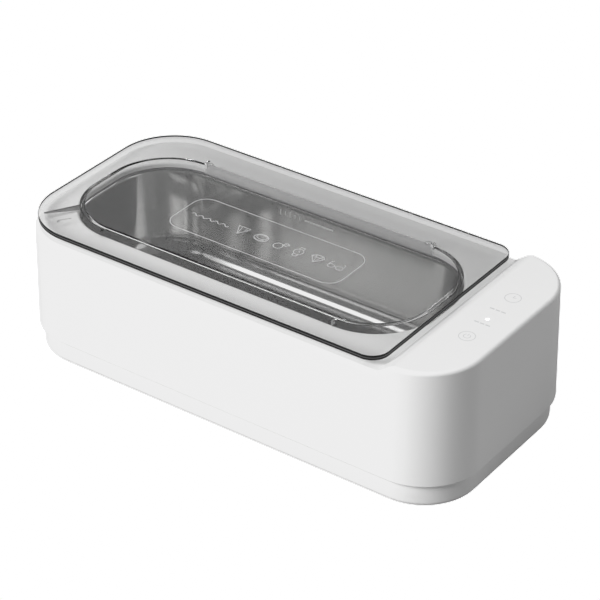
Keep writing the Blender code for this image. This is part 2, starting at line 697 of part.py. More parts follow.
def build_inductor_and_capacitors():
    finish("tuning_inductor", turned(raised(INDUCTOR, Z_PARTS), (86.0, 3.5, 0), 24), FERRITE)
    finish("bulk_capacitor", turned(raised(BULK_CAPACITOR, Z_PARTS), (79.2, 15.0, 0), 28),
           CAP_BLUE)
    finish("film_capacitor", board_part(80.0, 90.0, -29.4, -23.6, 0, 9.5, 0.6, 2), CAP_YELLOW)


def build_transistor():
    """Body with three legs and a flat tab towards the heatsink."""
    transistor = finish("power_transistor",
                        board_part(87.0, 90.9, 11.2, 20.8, 3.4, 12.6, 0.3), BLACK_PLASTIC)
    adds = [board_part(88.5, 89.2, y - 0.45, y + 0.45, 0, 4.0) for y in (13.5, 16.0, 18.5)]
    adds.append(board_part(89.8, 90.85, 11.3, 20.7, 12.0, 18.8))
    join(transistor, adds)
    tidy(transistor)


def build_heatsink():
    heatsink = finish("heatsink", board_part(91.2, 92.9, 9.5, 22.5, 0, 22), ALUMINIUM)
    join(heatsink, [board_part(92.0, 97.0, y - 0.55, y + 0.55, 0.8, 21.2)
                    for y in (10.2, 13.1, 16.0, 18.9, 21.8)])
    tidy(heatsink)


def build_socket(name, footprint, height):
    """Pin header shroud with an open top."""
    wall, pocket = 0.9, 2.2
    x0, x1, y0, y1 = footprint
    ob = finish(name, board_part(x0, x1, y0, y1, 0, height, 0.2), NYLON)
    cut(ob, [board_part(x0 + wall, x1 - wall, y0 + wall, y1 - wall,
                        height - pocket, height + 1)])


# ---------------------------------------------------------------- touch board
LED = [(0, 0), (1.7, 0), (1.7, 0.7), (1.5, 0.7), (1.5, 2.0), (1.2, 2.7), (0.6, 3.1),
       (0, 3.15)]      # radius, height above its underside


def build_touch_board():
    board = finish("touch_board", box(TOUCH_X0, TOUCH_X1, TOUCH_Y0, TOUCH_Y1,
                                      Z_TOUCH, Z_TOUCH_TOP), PCB_GREEN)
    cut(board, cylinders(TOUCH_HOLES, Z_TOUCH - 1, Z_TOUCH_TOP + 1, 1.15, 12))


def build_touch_spring(name, y):
    """Coil that narrows upwards, between the board and the panel."""
    turns, per_turn, wire_r = 4, 14, 0.35
    r_bottom, narrowing = 3.4, 0.9
    height = Z_ROOF - Z_TOUCH_PARTS - 2 * wire_r
    points = []
    for i in range(turns * per_turn + 1):
        a = 2 * math.pi * i / per_turn
        part = i / (turns * per_turn)
        radius = r_bottom - narrowing * part
        points.append((KEY_X + radius * math.cos(a), y + radius * math.sin(a),
                       Z_TOUCH_PARTS + wire_r + height * part))
    finish(name, tube(points, wire_r, sides=6, steps=1), SPRING)


def build_touch_parts():
    z1 = Z_TOUCH - GAP
    finish("touch_chip", box(86.0, 90.0, 3.4, 8.4, z1 - 1.5, z1, 0.2), BLACK_PLASTIC)
    finish("indicator_led", turned(raised(LED, Z_TOUCH_PARTS), LED_CENTRE, 20), LED_EPOXY)
    z0 = Z_TOUCH_PARTS + 3.5
    finish("light_pipe", turned([
        (0, z0), (1.9, z0), (1.9, Z_ROOF), (0.65, Z_ROOF), (0.65, Z_CREST - 0.1),
        (0.45, Z_CREST), (0, Z_CREST)], LED_CENTRE, 20), LENS)


def build_touch_cable():
    """Flat cable from the touch board down to the driver board."""
    x_mid = 95.1
    half_t, half_w = 0.25, 3.2
    # x from the middle, z
    path = [(0, Z_TOUCH - GAP), (0, 46.0), (1.2, 40.0), (1.6, 32.0), (0.9, 24.0), (0, 19.0),
            (0, Z_PARTS + TOUCH_SOCKET_H + GAP)]
    loops = []
    for dx, z in path:
        x0, x1 = x_mid + dx - half_t, x_mid + dx + half_t
        loops.append([(x0, -half_w, z), (x1, -half_w, z), (x1, half_w, z), (x0, half_w, z)])
    finish("touch_cable", loft(loops), GREY_FLEX)


# ---------------------------------------------------------------- power inlet
def build_inlet():
    """Box-shaped body, round barrel out through the back wall, bore and centre pin."""
    body = box(JACK_X - 4.8, JACK_X + 4.8, JACK_Y0, JACK_Y1, JACK_Z - 5.0, JACK_Z + 5.0, 0.4)
    jack = finish("power_inlet", body, BLACK_PLASTIC)
    join(jack, [cylinder(JACK_CENTRE, JACK_Y1 - 1.0, JACK_FACE, 3.7, 28, along_y=True)])
    cut(jack, [cylinder(JACK_CENTRE, 38.5, JACK_FACE + 1, 2.85, 24, along_y=True)])
    pin = [(0, 38.0), (1.05, 38.0), (1.05, 47.2), (0.7, 47.8), (0, 47.8)]
    join(jack, [turned(pin, JACK_CENTRE, 14, along_y=True)])
    tidy(jack)


# ---------------------------------------------------------------- leads
def build_inlet_lead(name, start, bends, plug_x, turn_z, mat):
    """Lead from the inlet's inner end to the power connector.

    start is (x, z), bends are (x, y, z) and turn_z is a height; their x and z
    are measured from the inlet's axis.
    """
    plug_y = 26.5
    x, z = JACK_X + start[0], JACK_Z + start[1]
    points = [(x, JACK_Y0 - GAP, z), (x, 33.2, z)]
    points += [(JACK_X + dx, y, JACK_Z + dz) for dx, y, dz in bends]
    points += [(plug_x, plug_y, JACK_Z + turn_z), (plug_x, plug_y, Z_PLUG + 0.8),
               (plug_x, plug_y, Z_PLUG)]
    finish(name, tube(points, LEAD_R), mat)


def build_piezo_lead(name, side, route, mat):
    """Lead from the piezo disc to its connector; side is -1 in front, 1 behind."""
    start_x, start_y = -6.0, side * 6.0
    plug_x, plug_y = 75.9, side * 1.9
    points = [(start_x, start_y, Z_PIEZO0 - GAP), (start_x, start_y, 10.0)]
    points += route
    points += [(73.6, plug_y, 19.2), (plug_x, plug_y, 19.0), (plug_x, plug_y, Z_PLUG + 0.6),
               (plug_x, plug_y, Z_PLUG)]
    finish(name, tube(points, LEAD_R), mat)


# Points (x, y, z) along the bottom cover and up to the connector
LIVE_ROUTE = [(-3.0, 6.5, 7.8), (10.0, 7.5, 6.2), (35.0, 6.5, 5.6), (60.0, 3.2, 6.0),
              (68.6, 2.2, 9.6), (71.4, 2.0, 15.0)]
RETURN_ROUTE = [(-3.0, -6.5, 7.8), (10.0, -6.5, 6.0), (35.0, -4.5, 5.4), (60.0, -1.8, 5.9),
                (68.6, -1.9, 9.6), (71.4, -1.9, 15.0)]


# ---------------------------------------------------------------- assembly
build_housing()
build_base()
lid_object = build_lid()
build_tank()
build_gasket()
build_clamp()
build_all_screws()
build_feet()
build_transducer()

build_driver_board()
build_transformer()
build_inductor_and_capacitors()
build_transistor()
build_heatsink()
build_socket("piezo_connector", PIEZO_SOCKET, SOCKET_H)
build_socket("power_connector", POWER_SOCKET, SOCKET_H)
build_socket("touch_connector", TOUCH_SOCKET, TOUCH_SOCKET_H)

build_touch_board()
build_touch_spring("touch_spring_power", Y_POWER_KEY)
build_touch_spring("touch_spring_timer", Y_TIMER_KEY)
build_touch_parts()
build_touch_cable()

build_inlet()
build_inlet_lead("inlet_lead_positive", (2.2, 2.0), [(3.2, 31.0, 2.3), (5.2, 28.4, 1.2)],
                 plug_x=82.8, turn_z=-1.6, mat=RED_WIRE)
build_inlet_lead("inlet_lead_negative", (-1.6, 3.0), [(0.6, 30.4, 6.0), (7.0, 28.2, 4.8)],
                 plug_x=86.6, turn_z=0.4, mat=BLACK_WIRE)
build_piezo_lead("piezo_lead_live", 1, LIVE_ROUTE, RED_WIRE)
build_piezo_lead("piezo_lead_return", -1, RETURN_ROUTE, BLACK_WIRE)

add_lid_lift(lid_object)
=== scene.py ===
# Small piezo-driven bath: a white housing holding a stainless tank under a smoked lid, on a bottom
# cover. It lies with its length along X and its feet towards z = 0. The raised touch panel is at
# the right (+X), the front faces -Y. Shapes are in millimetres and are scaled to metres as meshes.
import math

import bmesh
import bpy
from mathutils import Matrix, Vector


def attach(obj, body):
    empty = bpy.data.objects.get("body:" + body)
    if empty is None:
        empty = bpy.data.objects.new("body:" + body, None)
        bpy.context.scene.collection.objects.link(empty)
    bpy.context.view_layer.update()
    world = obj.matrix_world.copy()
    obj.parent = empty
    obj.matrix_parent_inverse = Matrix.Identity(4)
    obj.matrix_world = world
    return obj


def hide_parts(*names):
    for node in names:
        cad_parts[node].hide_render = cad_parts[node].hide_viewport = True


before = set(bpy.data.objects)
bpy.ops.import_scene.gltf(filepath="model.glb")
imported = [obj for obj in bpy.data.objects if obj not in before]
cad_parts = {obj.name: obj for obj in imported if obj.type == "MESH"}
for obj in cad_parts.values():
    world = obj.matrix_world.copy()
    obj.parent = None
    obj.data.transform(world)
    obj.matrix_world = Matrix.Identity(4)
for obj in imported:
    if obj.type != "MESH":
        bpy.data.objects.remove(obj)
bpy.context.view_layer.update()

scene = bpy.context.scene
MM = 0.001

# ------------------------------------------------------------------ dimensions (mm)
# Housing, measured at its crest
LENGTH, WIDTH = 205.0, 96.6
R_LEFT, R_RIGHT = 25.0, 24.3                  # plan corner radii
DRAFT = 0.92                                  # outward growth of the wall at the seam
Z_SEAM, Z_DECK, Z_CREST = 11.46, 56.6, 61.344  # lower edge, deck round the lid, touch panel
R_SEAM_EDGE, R_TOP_EDGE, R_MOUTH_EDGE = 0.6, 1.5, 1.2
WALL, DECK, PANEL = 2.2, 2.0, 2.2             # thicknesses
Z_DECK_UNDER = Z_DECK - DECK
Z_PANEL_UNDER = Z_CREST - PANEL
# Slope from the deck up to the panel
RISE_X, RISE_ANGLE, R_RISE_FOOT, R_RISE_TOP = 72.3, 36.0, 0.8, 6.0
UNDER_RISE_X0, UNDER_RISE_X1 = 73.4, 79.6     # the same slope inside the housing
CUT_X, CUT_Y, CUT_Z = -115.0, 60.0, 75.0      # reach of cutters, clear of the housing
# Tank opening and the lip under it
OPEN_X0, OPEN_X1, OPEN_HALF, R_OPEN = -93.8, 70.1, 33.0, 26.2
LIP, Z_LIP = 2.0, 54.2
PANEL_X = 90.0                                # middle of the touch panel
LED_Y, R_LED = -1.2, 0.95
JACK_X, JACK_Z, R_JACK = 77.0, 22.0, 4.0      # hole in the back wall

# Lid plate and the ring below it
LID_X0, LID_X1, LID_HALF, R_LID_LEFT, R_LID_RIGHT = -101.7, 72.65, 47.5, 24.7, 7.5
LID_THICKNESS = 2.0
Z_LID = 59.3
Z_LID_TOP = Z_LID + LID_THICKNESS
Z_PARTING = Z_LID + 1.0                       # mould parting line round the rim
RING_GAP, RING_WALL, Z_RING, R_FLARE = 0.8, 1.6, 53.9, 0.55
RIB_LEFT_X, RIB_RIGHT_X, RIB_HALF = -67.0, 43.8, 0.6

# Tank sheet
SHEET, Z_FLANGE, FLANGE_WIDTH, R_FLANGE_BEND = 0.6, 52.8, 4.6, 1.4
Z_TANK_FLOOR, R_TANK_FLOOR, TANK_DRAFT = 16.0, 8.0, 1.15

# Bottom cover
BASE_INSET = 0.95                             # its wall stands inside the crest outline
Z_BASE, Z_BASE_TOP, Z_BASE_LIP, Z_BASE_FLOOR, R_BASE_EDGE = 0.9, 11.16, 15.5, 3.3, 2.5
CASE_SCREWS = [(x, side * y) for x, y in ((-90.3, 35.3), (66.0, 40.5)) for side in (-1, 1)]
FEET = [(x, y) for x in (-78.0, 78.0) for y in (-30.0, 30.0)]

CORNER_STEPS = 30                             # segments per plan corner


# ------------------------------------------------------------------ shading graphs
class Graph:
    """Builds nodes in a tree. Any input may be a plain value or another node's output."""

    def __init__(self, tree):
        self.tree = tree

    def feed(self, socket, source):
        if isinstance(source, bpy.types.NodeSocket):
            self.tree.links.new(source, socket)
        elif isinstance(source, tuple) and socket.type == "RGBA":
            socket.default_value = (*source, 1.0)
        else:
            socket.default_value = source

    def node(self, kind, inputs=None, **settings):
        made = self.tree.nodes.new("ShaderNode" + kind)
        for key, setting in settings.items():
            setattr(made, key, setting)
        for key, source in (inputs or {}).items():
            self.feed(made.inputs[key], source)
        return made

    def math(self, operation, *sources):
        return self.node("Math", dict(enumerate(sources)), operation=operation).outputs[0]

    def dot(self, vector, direction):
        made = self.node("VectorMath", {0: vector, 1: direction}, operation="DOT_PRODUCT")
        return made.outputs["Value"]

    def ramp(self, source, low, high, start=0.35, end=0.65, curve="LINEAR"):
        """Maps start..end of the source to low..high."""
        return self.node("MapRange", {"Value": source, "From Min": start, "From Max": end,
                                      "To Min": low, "To Max": high},
                         interpolation_type=curve).outputs[0]

    def rays(self):
        return self.node("LightPath").outputs


class Material(Graph):
    """A Principled material, kept in `materials` under its name."""

    def __init__(self, name):
        self.material = bpy.data.materials.new(name)
        self.material.use_nodes = True
        super().__init__(self.material.node_tree)
        self.tree.nodes.clear()
        self.output = self.node("OutputMaterial")
        self.bsdf = self.node("BsdfPrincipled")
        self.surface(self.bsdf)
        materials[name] = self.material

    def surface(self, shader):
        self.feed(self.output.inputs[0], shader.outputs[0])

    def set(self, **inputs):
        for key, source in inputs.items():
            self.feed(self.bsdf.inputs[key.replace("_", " ")], source)

    def coordinates(self, scale=(1, 1, 1), kind="Object"):
        source = self.node("TexCoord").outputs[kind]
        return self.node("Mapping", {0: source, "Scale": scale}).outputs[0]

    def noise(self, place, scale, detail=3.0):
        inputs = {"Vector": place, "Scale": scale, "Detail": detail}
        return self.node("TexNoise", inputs).outputs["Fac"]

    def mix(self, factor, first, second, blend="MIX"):
        return self.node("Mix", {0: factor, 6: first, 7: second},
                         data_type="RGBA", blend_type=blend).outputs[2]

    def clouds(self, noise, dark, light):
        return self.mix(self.ramp(noise, 0.0, 1.0), dark, light)

    def bump(self, height, strength, depth):
        """Depth in millimetres."""
        inputs = {"Height": height, "Strength": strength, "Distance": depth * MM}
        return self.node("Bump", inputs).outputs[0]

    def mix_shaders(self, factor, first, second):
        return self.node("MixShader", {0: factor, 1: first.outputs[0], 2: second.outputs[0]})


materials = {}


def grey(level):
    return (level,) * 3


# ------------------------------------------------------------------ moulded plastics and inks
# name: colour, roughness, roughness spread, bump strength, bump depth (mm), [grain scale]
PLASTICS = {
    "white_abs_satin": ((0.88, 0.88, 0.878), 0.36, 0.03, 0.10, 0.003),
    "white_abs_base": ((0.87, 0.87, 0.868), 0.38, 0.03, 0.10, 0.003),
    # painted shade: the clear lid's edge faces are coloured near black
    "smoked_lid_rim_painted_shade": ((0.012, 0.012, 0.0125), 0.22, 0.03, 0.05, 0.001),
    "smoked_lid_rib": ((0.26, 0.26, 0.261), 0.35, 0.03, 0.05, 0.001),
    # painted highlight: light grey on one face of a clear lid rib
    "lid_tab_painted_highlight": ((0.66, 0.66, 0.66), 0.4, 0.03, 0.05, 0.001),
    # painted light: partly see-through grey on the outer face of the ring's back side
    "smoked_lid_root_painted_light": ((0.49, 0.49, 0.491), 0.4, 0.03, 0.05, 0.001),
    "smoked_lid_parting_line": ((0.10, 0.10, 0.101), 0.3, 0.03, 0.05, 0.001),
    "ink_light_grey": ((0.66, 0.66, 0.665), 0.5, 0.03, 0.1, 0.001),
    "ink_panel_grey": ((0.66, 0.66, 0.665), 0.55, 0.03, 0.1, 0.001),
    "smoked_lid_mark": ((0.10, 0.10, 0.101), 0.45, 0.03, 0.05, 0.001),
    "etched_mark": ((0.62, 0.62, 0.62), 0.6, 0.03, 0.1, 0.001),
    "foot_rubber_mat": ((0.10, 0.10, 0.105), 0.75, 0.06, 0.3, 0.02, 500.0),
    "silicone_mat": ((0.10, 0.10, 0.105), 0.6, 0.05, 0.2, 0.01),
    "grey_abs_mat": ((0.25, 0.26, 0.27), 0.5, 0.05, 0.25, 0.01),
    "piezo_mat": ((0.72, 0.69, 0.60), 0.35, 0.05, 0.2, 0.01),
    "epoxy_mat": ((0.16, 0.17, 0.15), 0.4, 0.1, 0.3, 0.03, 200.0),
    "ferrite_mat": ((0.06, 0.06, 0.065), 0.55, 0.08, 0.4, 0.02, 700.0),
    "black_moulding_mat": ((0.02, 0.02, 0.022), 0.45, 0.05, 0.2, 0.01),
    "capacitor_sleeve_mat": ((0.03, 0.06, 0.20), 0.32, 0.04, 0.1, 0.005),
    "capacitor_box_mat": ((0.70, 0.52, 0.08), 0.42, 0.05, 0.2, 0.01),
    "nylon_mat": ((0.85, 0.83, 0.76), 0.45, 0.05, 0.15, 0.006),
    "red_wire_mat": ((0.55, 0.03, 0.03), 0.38, 0.04, 0.1, 0.004),
    "flat_cable_mat": ((0.50, 0.52, 0.55), 0.4, 0.04, 0.1, 0.004),
    "led_mat": ((0.90, 0.93, 1.0), 0.2, 0.03, 0.05, 0.002),
}


def moulded(name, colour, roughness, spread, strength, depth, scale=900.0):
    """Faint cloudiness in colour, fine grain in roughness and bump."""
    m = Material(name)
    place = m.coordinates()
    cloud = m.noise(place, scale=18.0, detail=4.0)
    grain = m.noise(place, scale=scale, detail=2.0)
    m.set(Base_Color=m.clouds(cloud, tuple(c * 0.985 for c in colour), colour),
          Roughness=m.ramp(grain, roughness - spread, roughness + spread, start=0.3, end=0.7),
          Normal=m.bump(grain, strength, depth), Coat_Roughness=0.25)
    return m


def plastic_materials():
    made = {name: moulded(name, *row) for name, row in PLASTICS.items()}
    made["smoked_lid_rim_painted_shade"].set(IOR=1.35)
    # the ring's back outer face mixes clear with grey as painted light
    root = made["smoked_lid_root_painted_light"]             # partly see-through
    root.surface(root.mix_shaders(0.45, root.node("BsdfTransparent"), root.bsdf))


# ------------------------------------------------------------------ smoked clear plastic
def smoked(name, body_back, body_front, pass_back, pass_front, roughness):
    """Smoked clear plastic, darker towards the back as painted shade. Seen directly it refracts;
    light for the parts below passes straight through, dimmed, darker towards the back as well."""
    m = Material(name)
    place = m.coordinates()
    dust = m.noise(place, scale=30.0, detail=3.0)
    haze = m.noise(place, scale=600.0, detail=2.0)
    # painted light and shade: colour and passed light are lighter towards the front left, darker
    # towards the back
    painted_light_toward_front = m.ramp(m.dot(place, (-0.346, -0.938, 0.0)), 0.0, 1.0,
                          start=-0.040, end=0.036, curve="SMOOTHSTEP")
    body = m.mix(painted_light_toward_front, grey(body_back), grey(body_front))
    dusty = m.clouds(dust, grey(0.985), grey(1.0))
    m.set(Base_Color=m.mix(1.0, body, dusty, blend="MULTIPLY"), Transmission_Weight=1.0, IOR=1.49,
          Roughness=m.ramp(haze, roughness * 0.5, roughness * 1.5, start=0.3, end=0.7))
    clear = m.node("BsdfTransparent",
                   {"Color": m.mix(painted_light_toward_front, grey(pass_back), grey(pass_front))})
    # shadow, diffuse and outside glossy rays pass straight; rays leaving the plastic refract
    rays = m.rays()
    backfacing = m.node("NewGeometry").outputs["Backfacing"]
    fresh = m.math("LESS_THAN", rays["Transparent Depth"], 0.5)
    outside = m.math("SUBTRACT", 1.0, m.math("MULTIPLY", backfacing, fresh))
    glossy = m.math("MULTIPLY", rays["Is Glossy Ray"], outside)
    lighting = m.math("MAXIMUM", rays["Is Shadow Ray"], rays["Is Diffuse Ray"])
    m.surface(m.mix_shaders(m.math("MAXIMUM", lighting, glossy), m.bsdf, clear))


# ------------------------------------------------------------------ metals
def metal(name, colour, roughness, scale, streak=(1, 1, 1)):
    m = Material(name)
    streaks = m.noise(m.coordinates(streak), scale=scale, detail=4.0)
    m.set(Base_Color=m.clouds(streaks, tuple(c * 0.9 for c in colour), colour), Metallic=1.0,
          Roughness=m.ramp(streaks, roughness - 0.06, roughness + 0.06),
          Normal=m.bump(streaks, strength=0.08, depth=0.01))


STEEL_ROUGHNESS = 0.10
STEEL_SPREAD = 0.012
STEEL_BOUNCE_ROUGHNESS = 0.12                  # added where the steel mirrors itself
# zones of the steel's painted shade: the wall below z, the back beyond y, the bend below z
WALL_BELOW, BACK_BEYOND, BEND_BELOW = 0.050, 0.020, 0.0215   # zones of the tank: z, y, z (m)
BEND_FADE_X = (-0.062, -0.046)                 # x over which the bend's shade dies out (m)


def steel_tank():
    m = Material("drawn_stainless")
    # faint drawn lines run round the tank
    lines = m.noise(m.coordinates(scale=(60.0, 900.0, 1.0), kind="UV"), scale=1.0)
    place = m.coordinates()
    sheen = m.clouds(m.noise(place, scale=25.0), (0.70, 0.70, 0.695), (0.74, 0.74, 0.735))
    axes = m.node("SeparateXYZ", {0: place}).outputs
    wall = m.math("LESS_THAN", axes["Z"], WALL_BELOW)
    back = m.math("GREATER_THAN", axes["Y"], BACK_BEYOND)
    # painted shade: the back wall is darkened where it is itself mirrored in the steel
    rays = m.rays()
    bounced = m.math("SUBTRACT", rays["Is Glossy Ray"], rays["Is Transmission Ray"])
    mirrored_back_painted_shade = m.math("MULTIPLY", m.math("MULTIPLY", wall, back), bounced)
    # painted shade: the bright line of the floor bend is darkened towards the left end
    fade = m.ramp(axes["X"], 0.75, 0.0, *BEND_FADE_X)
    bend_painted_shade = m.math("MULTIPLY", fade, m.math("LESS_THAN", axes["Z"], BEND_BELOW))
    shade = m.math("MAXIMUM", m.math("MULTIPLY", bend_painted_shade, back), mirrored_back_painted_shade)
    drawn = m.ramp(lines, STEEL_ROUGHNESS - STEEL_SPREAD, STEEL_ROUGHNESS + STEEL_SPREAD)
    # painted shade mixes the steel's colour towards near black
    m.set(Base_Color=m.mix(shade, sheen, grey(0.05)), Metallic=1.0,
          Roughness=m.math("MULTIPLY_ADD", bounced, STEEL_BOUNCE_ROUGHNESS, drawn),
          Normal=m.bump(lines, strength=0.01, depth=0.001))


# ------------------------------------------------------------------ winding, board, light pipe
def copper_wire():
    m = Material("winding_mat")
    turns = m.node("TexWave", {"Scale": 520.0, "Vector": m.coordinates()},
                   wave_type="BANDS", bands_direction="Z").outputs["Fac"]
    m.set(Base_Color=m.mix(turns, (0.30, 0.12, 0.04), (0.70, 0.33, 0.13)), Metallic=0.9,
          Roughness=0.3, Normal=m.bump(turns, strength=0.8, depth=0.15))


def circuit_board():
    m = Material("circuit_board_mat")
    cells = m.node("TexVoronoi", {"Scale": 260.0, "Vector": m.coordinates()},
                   feature="DISTANCE_TO_EDGE")
    track = m.ramp(cells.outputs["Distance"], 1.0, 0.0, start=0.02, end=0.05)
    m.set(Base_Color=m.mix(track, (0.02, 0.16, 0.07), (0.06, 0.33, 0.14)), Roughness=0.35,
          Coat_Weight=0.5, Coat_Roughness=0.15, Normal=m.bump(track, strength=0.4, depth=0.03))


def light_pipe():
    m = Material("light_pipe_mat")
    m.set(Base_Color=m.clouds(m.noise(m.coordinates(), scale=900.0), (0.94, 0.95, 0.96), grey(1.0)),
          Roughness=0.2, Emission_Color=grey(1.0), Emission_Strength=1.2)


def build_materials():
    plastic_materials()
    # back and front levels of the lids' painted shade and painted light
    smoked("smoked_lid_face", body_back=0.745, body_front=0.895,
           pass_back=0.82, pass_front=0.925, roughness=0.008)
    smoked("smoked_lid_ring", body_back=0.80, body_front=0.84,
           pass_back=0.92, pass_front=0.95, roughness=0.015)
    steel_tank()
    metal("zinc_screw", colour=(0.66, 0.66, 0.68), roughness=0.28, scale=900.0)
    metal("heatsink_mat", colour=(0.72, 0.73, 0.74), roughness=0.32, scale=900.0,
          streak=(1, 1, 0.03))
    metal("spring_mat", colour=(0.70, 0.70, 0.68), roughness=0.25, scale=1200.0)
    copper_wire()
    circuit_board()
    light_pipe()


# ------------------------------------------------------------------ mesh objects
def mesh_object(name, bm):
    """Turns a bmesh in millimetres into a linked object in metres."""
    bmesh.ops.recalc_face_normals(bm, faces=bm.faces)
    bmesh.ops.scale(bm, vec=(MM, MM, MM), verts=bm.verts)
    mesh = bpy.data.meshes.new(name)
    bm.to_mesh(mesh)
    bm.free()
    ob = bpy.data.objects.new(name, mesh)
    scene.collection.objects.link(ob)
    return ob


def smooth(ob, angle=30.0):
    ob.data.shade_smooth()
    ob.data.set_sharp_from_angle(angle=math.radians(angle))


def finish_mesh(name, bm, *material_names, angle=30.0):
    ob = mesh_object(name, bm)
    for material_name in material_names:
        ob.data.materials.append(materials[material_name])
    smooth(ob, angle)
    return ob


def weight_normals(ob, weight=80):
    modifier = ob.modifiers.new("weighted_normals", "WEIGHTED_NORMAL")
    modifier.keep_sharp = True
    modifier.weight = weight


def cut(ob, tools, operation="DIFFERENCE"):
    """Applies booleans with the tools, which are bmeshes in millimetres."""
    helpers = []
    for bm in tools:
        helper = mesh_object("tool", bm)
        helpers.append(helper)
        modifier = ob.modifiers.new("boolean", "BOOLEAN")
        modifier.operation = operation
        modifier.solver = "EXACT"
        modifier.object = helper
    kept = list(ob.data.materials)
    evaluated = ob.evaluated_get(bpy.context.evaluated_depsgraph_get())
    mesh = bpy.data.meshes.new_from_object(evaluated)
    ob.modifiers.clear()
    ob.data = mesh
    mesh.materials.clear()
    for material in kept:
        mesh.materials.append(material)
    for face in mesh.polygons:
        face.material_index = 0
    for helper in helpers:
        bpy.data.objects.remove(helper, do_unlink=True)


def round_edges(ob, pick, radius, segments):
    """Rounds the edges for which pick(edge, lower and higher face-normal z) holds."""
    bm = bmesh.new()
    bm.from_mesh(ob.data)
    bmesh.ops.remove_doubles(bm, verts=bm.verts, dist=1e-6)
    bm.normal_update()
    edges = [edge for edge in bm.edges if len(edge.link_faces) == 2
             and pick(edge, *sorted(face.normal.z for face in edge.link_faces))]
    bmesh.ops.bevel(bm, geom=edges, offset=radius * MM, segments=segments, profile=0.5,
                    affect="EDGES")
    bm.to_mesh(ob.data)
    bm.free()


def tidy(ob):
    bm = bmesh.new()
    bm.from_mesh(ob.data)
    bmesh.ops.remove_doubles(bm, verts=bm.verts, dist=1e-6)
    bmesh.ops.dissolve_degenerate(bm, edges=bm.edges, dist=1e-7)
    bm.to_mesh(ob.data)
    bm.free()
    smooth(ob)


# ------------------------------------------------------------------ solids and outlines
def loft(loops, closed=False, uv=None, bm=None):
    """Skins the loops in turn, capped unless closed. uv holds distances round and along."""
    if bm is None:
        bm = bmesh.new()
    rings = [[bm.verts.new(point) for point in loop] for loop in loops]
    pairs = list(zip(rings, rings[1:]))
    if closed:
        pairs.append((rings[-1], rings[0]))
    layer = bm.loops.layers.uv.new("UVMap") if uv else None
    for k, (ring, following) in enumerate(pairs):
        for i in range(len(ring)):
            j = (i + 1) % len(ring)
            face = bm.faces.new((ring[i], ring[j], following[j], following[i]))
            if uv:
                around, along = uv
                places = ((around[i], along[k]), (around[i + 1], along[k]),
                          (around[i + 1], along[k + 1]), (around[i], along[k + 1]))
                for corner, place in zip(face.loops, places):
                    corner[layer].uv = place
    if not closed:
        bm.faces.new(list(reversed(rings[0])))
        bm.faces.new(rings[-1])
    return bm


def prism(outline, y0, y1):
    """Solid along Y from an (x, z) outline."""
    return loft([[(x, y, z) for x, z in outline] for y in (y0, y1)])


def box(x0, x1, y0, y1, z0, z1, bevel, segments=2):
    bm = bmesh.new()
    bmesh.ops.create_cube(bm, size=1.0)
    for v in bm.verts:
        v.co = Vector((x0 if v.co.x < 0 else x1, y0 if v.co.y < 0 else y1,
                       z0 if v.co.z < 0 else z1))
    bmesh.ops.bevel(bm, geom=list(bm.edges), offset=bevel, segments=segments, profile=0.5,
                    affect="EDGES")
    return bm


def cylinder(x, y, z0, z1, radius, sides=40):
    turns = [2 * math.pi * i / sides for i in range(sides)]
    bm = loft([[(radius * math.cos(turn), radius * math.sin(turn), z) for turn in turns]
               for z in (z0, z1)])
    bmesh.ops.translate(bm, vec=(x, y, 0), verts=bm.verts)
    return bm


def cylinder_along_y(x, z, y0, y1, radius, sides):
    bm = cylinder(0, 0, y0, y1, radius, sides)
    bmesh.ops.rotate(bm, matrix=Matrix.Rotation(math.radians(-90), 3, "X"), verts=bm.verts)
    bmesh.ops.translate(bm, vec=(x, 0, z), verts=bm.verts)
    return bm


def quarter(steps):
    """(sine, cosine) pairs from 0 to 90 degrees."""
    angles = [math.radians(90 * i / steps) for i in range(steps + 1)]
    return [(math.sin(angle), math.cos(angle)) for angle in angles]


def bottom_round(radius, z, steps):
    """(inset, z) stations rounding a lower edge, from the underside up."""
    return [(radius * (1 - sine), z + radius * (1 - cosine)) for sine, cosine in quarter(steps)]


def rounded_rect(x0, x1, half, r_left, r_right, z, steps=CORNER_STEPS, y_mid=0.0):
    points = []
    for x, y, radius, start in ((x0 + r_left, -half + r_left, r_left, 180),
                                (x1 - r_right, -half + r_right, r_right, 270),
                                (x1 - r_right, half - r_right, r_right, 0),
                                (x0 + r_left, half - r_left, r_left, 90)):
        for i in range(steps + 1):
            angle = math.radians(start + 90.0 * i / steps)
            points.append((x + radius * math.cos(angle),
                           y_mid + y + radius * math.sin(angle), z))
    return points


def footprint(grow, z):
    """Crest outline of the housing, grown outward."""
    return rounded_rect(-LENGTH / 2 - grow, LENGTH / 2 + grow, WIDTH / 2 + grow,
                        R_LEFT + grow, R_RIGHT + grow, z)


def shell_loop(inset, z):
    return footprint(DRAFT * (Z_CREST - z) / (Z_CREST - Z_SEAM) - inset, z)


def base_loop(inset, z):
    return footprint(-BASE_INSET - inset, z)


def opening_loop(inset, z):
    return rounded_rect(OPEN_X0 + inset, OPEN_X1 - inset, OPEN_HALF - inset,
                        R_OPEN - inset, R_OPEN - inset, z)


def lid_loop(inset, z):
    return rounded_rect(LID_X0 + inset, LID_X1 - inset, LID_HALF - inset,
                        R_LID_LEFT - inset, R_LID_RIGHT - inset, z)


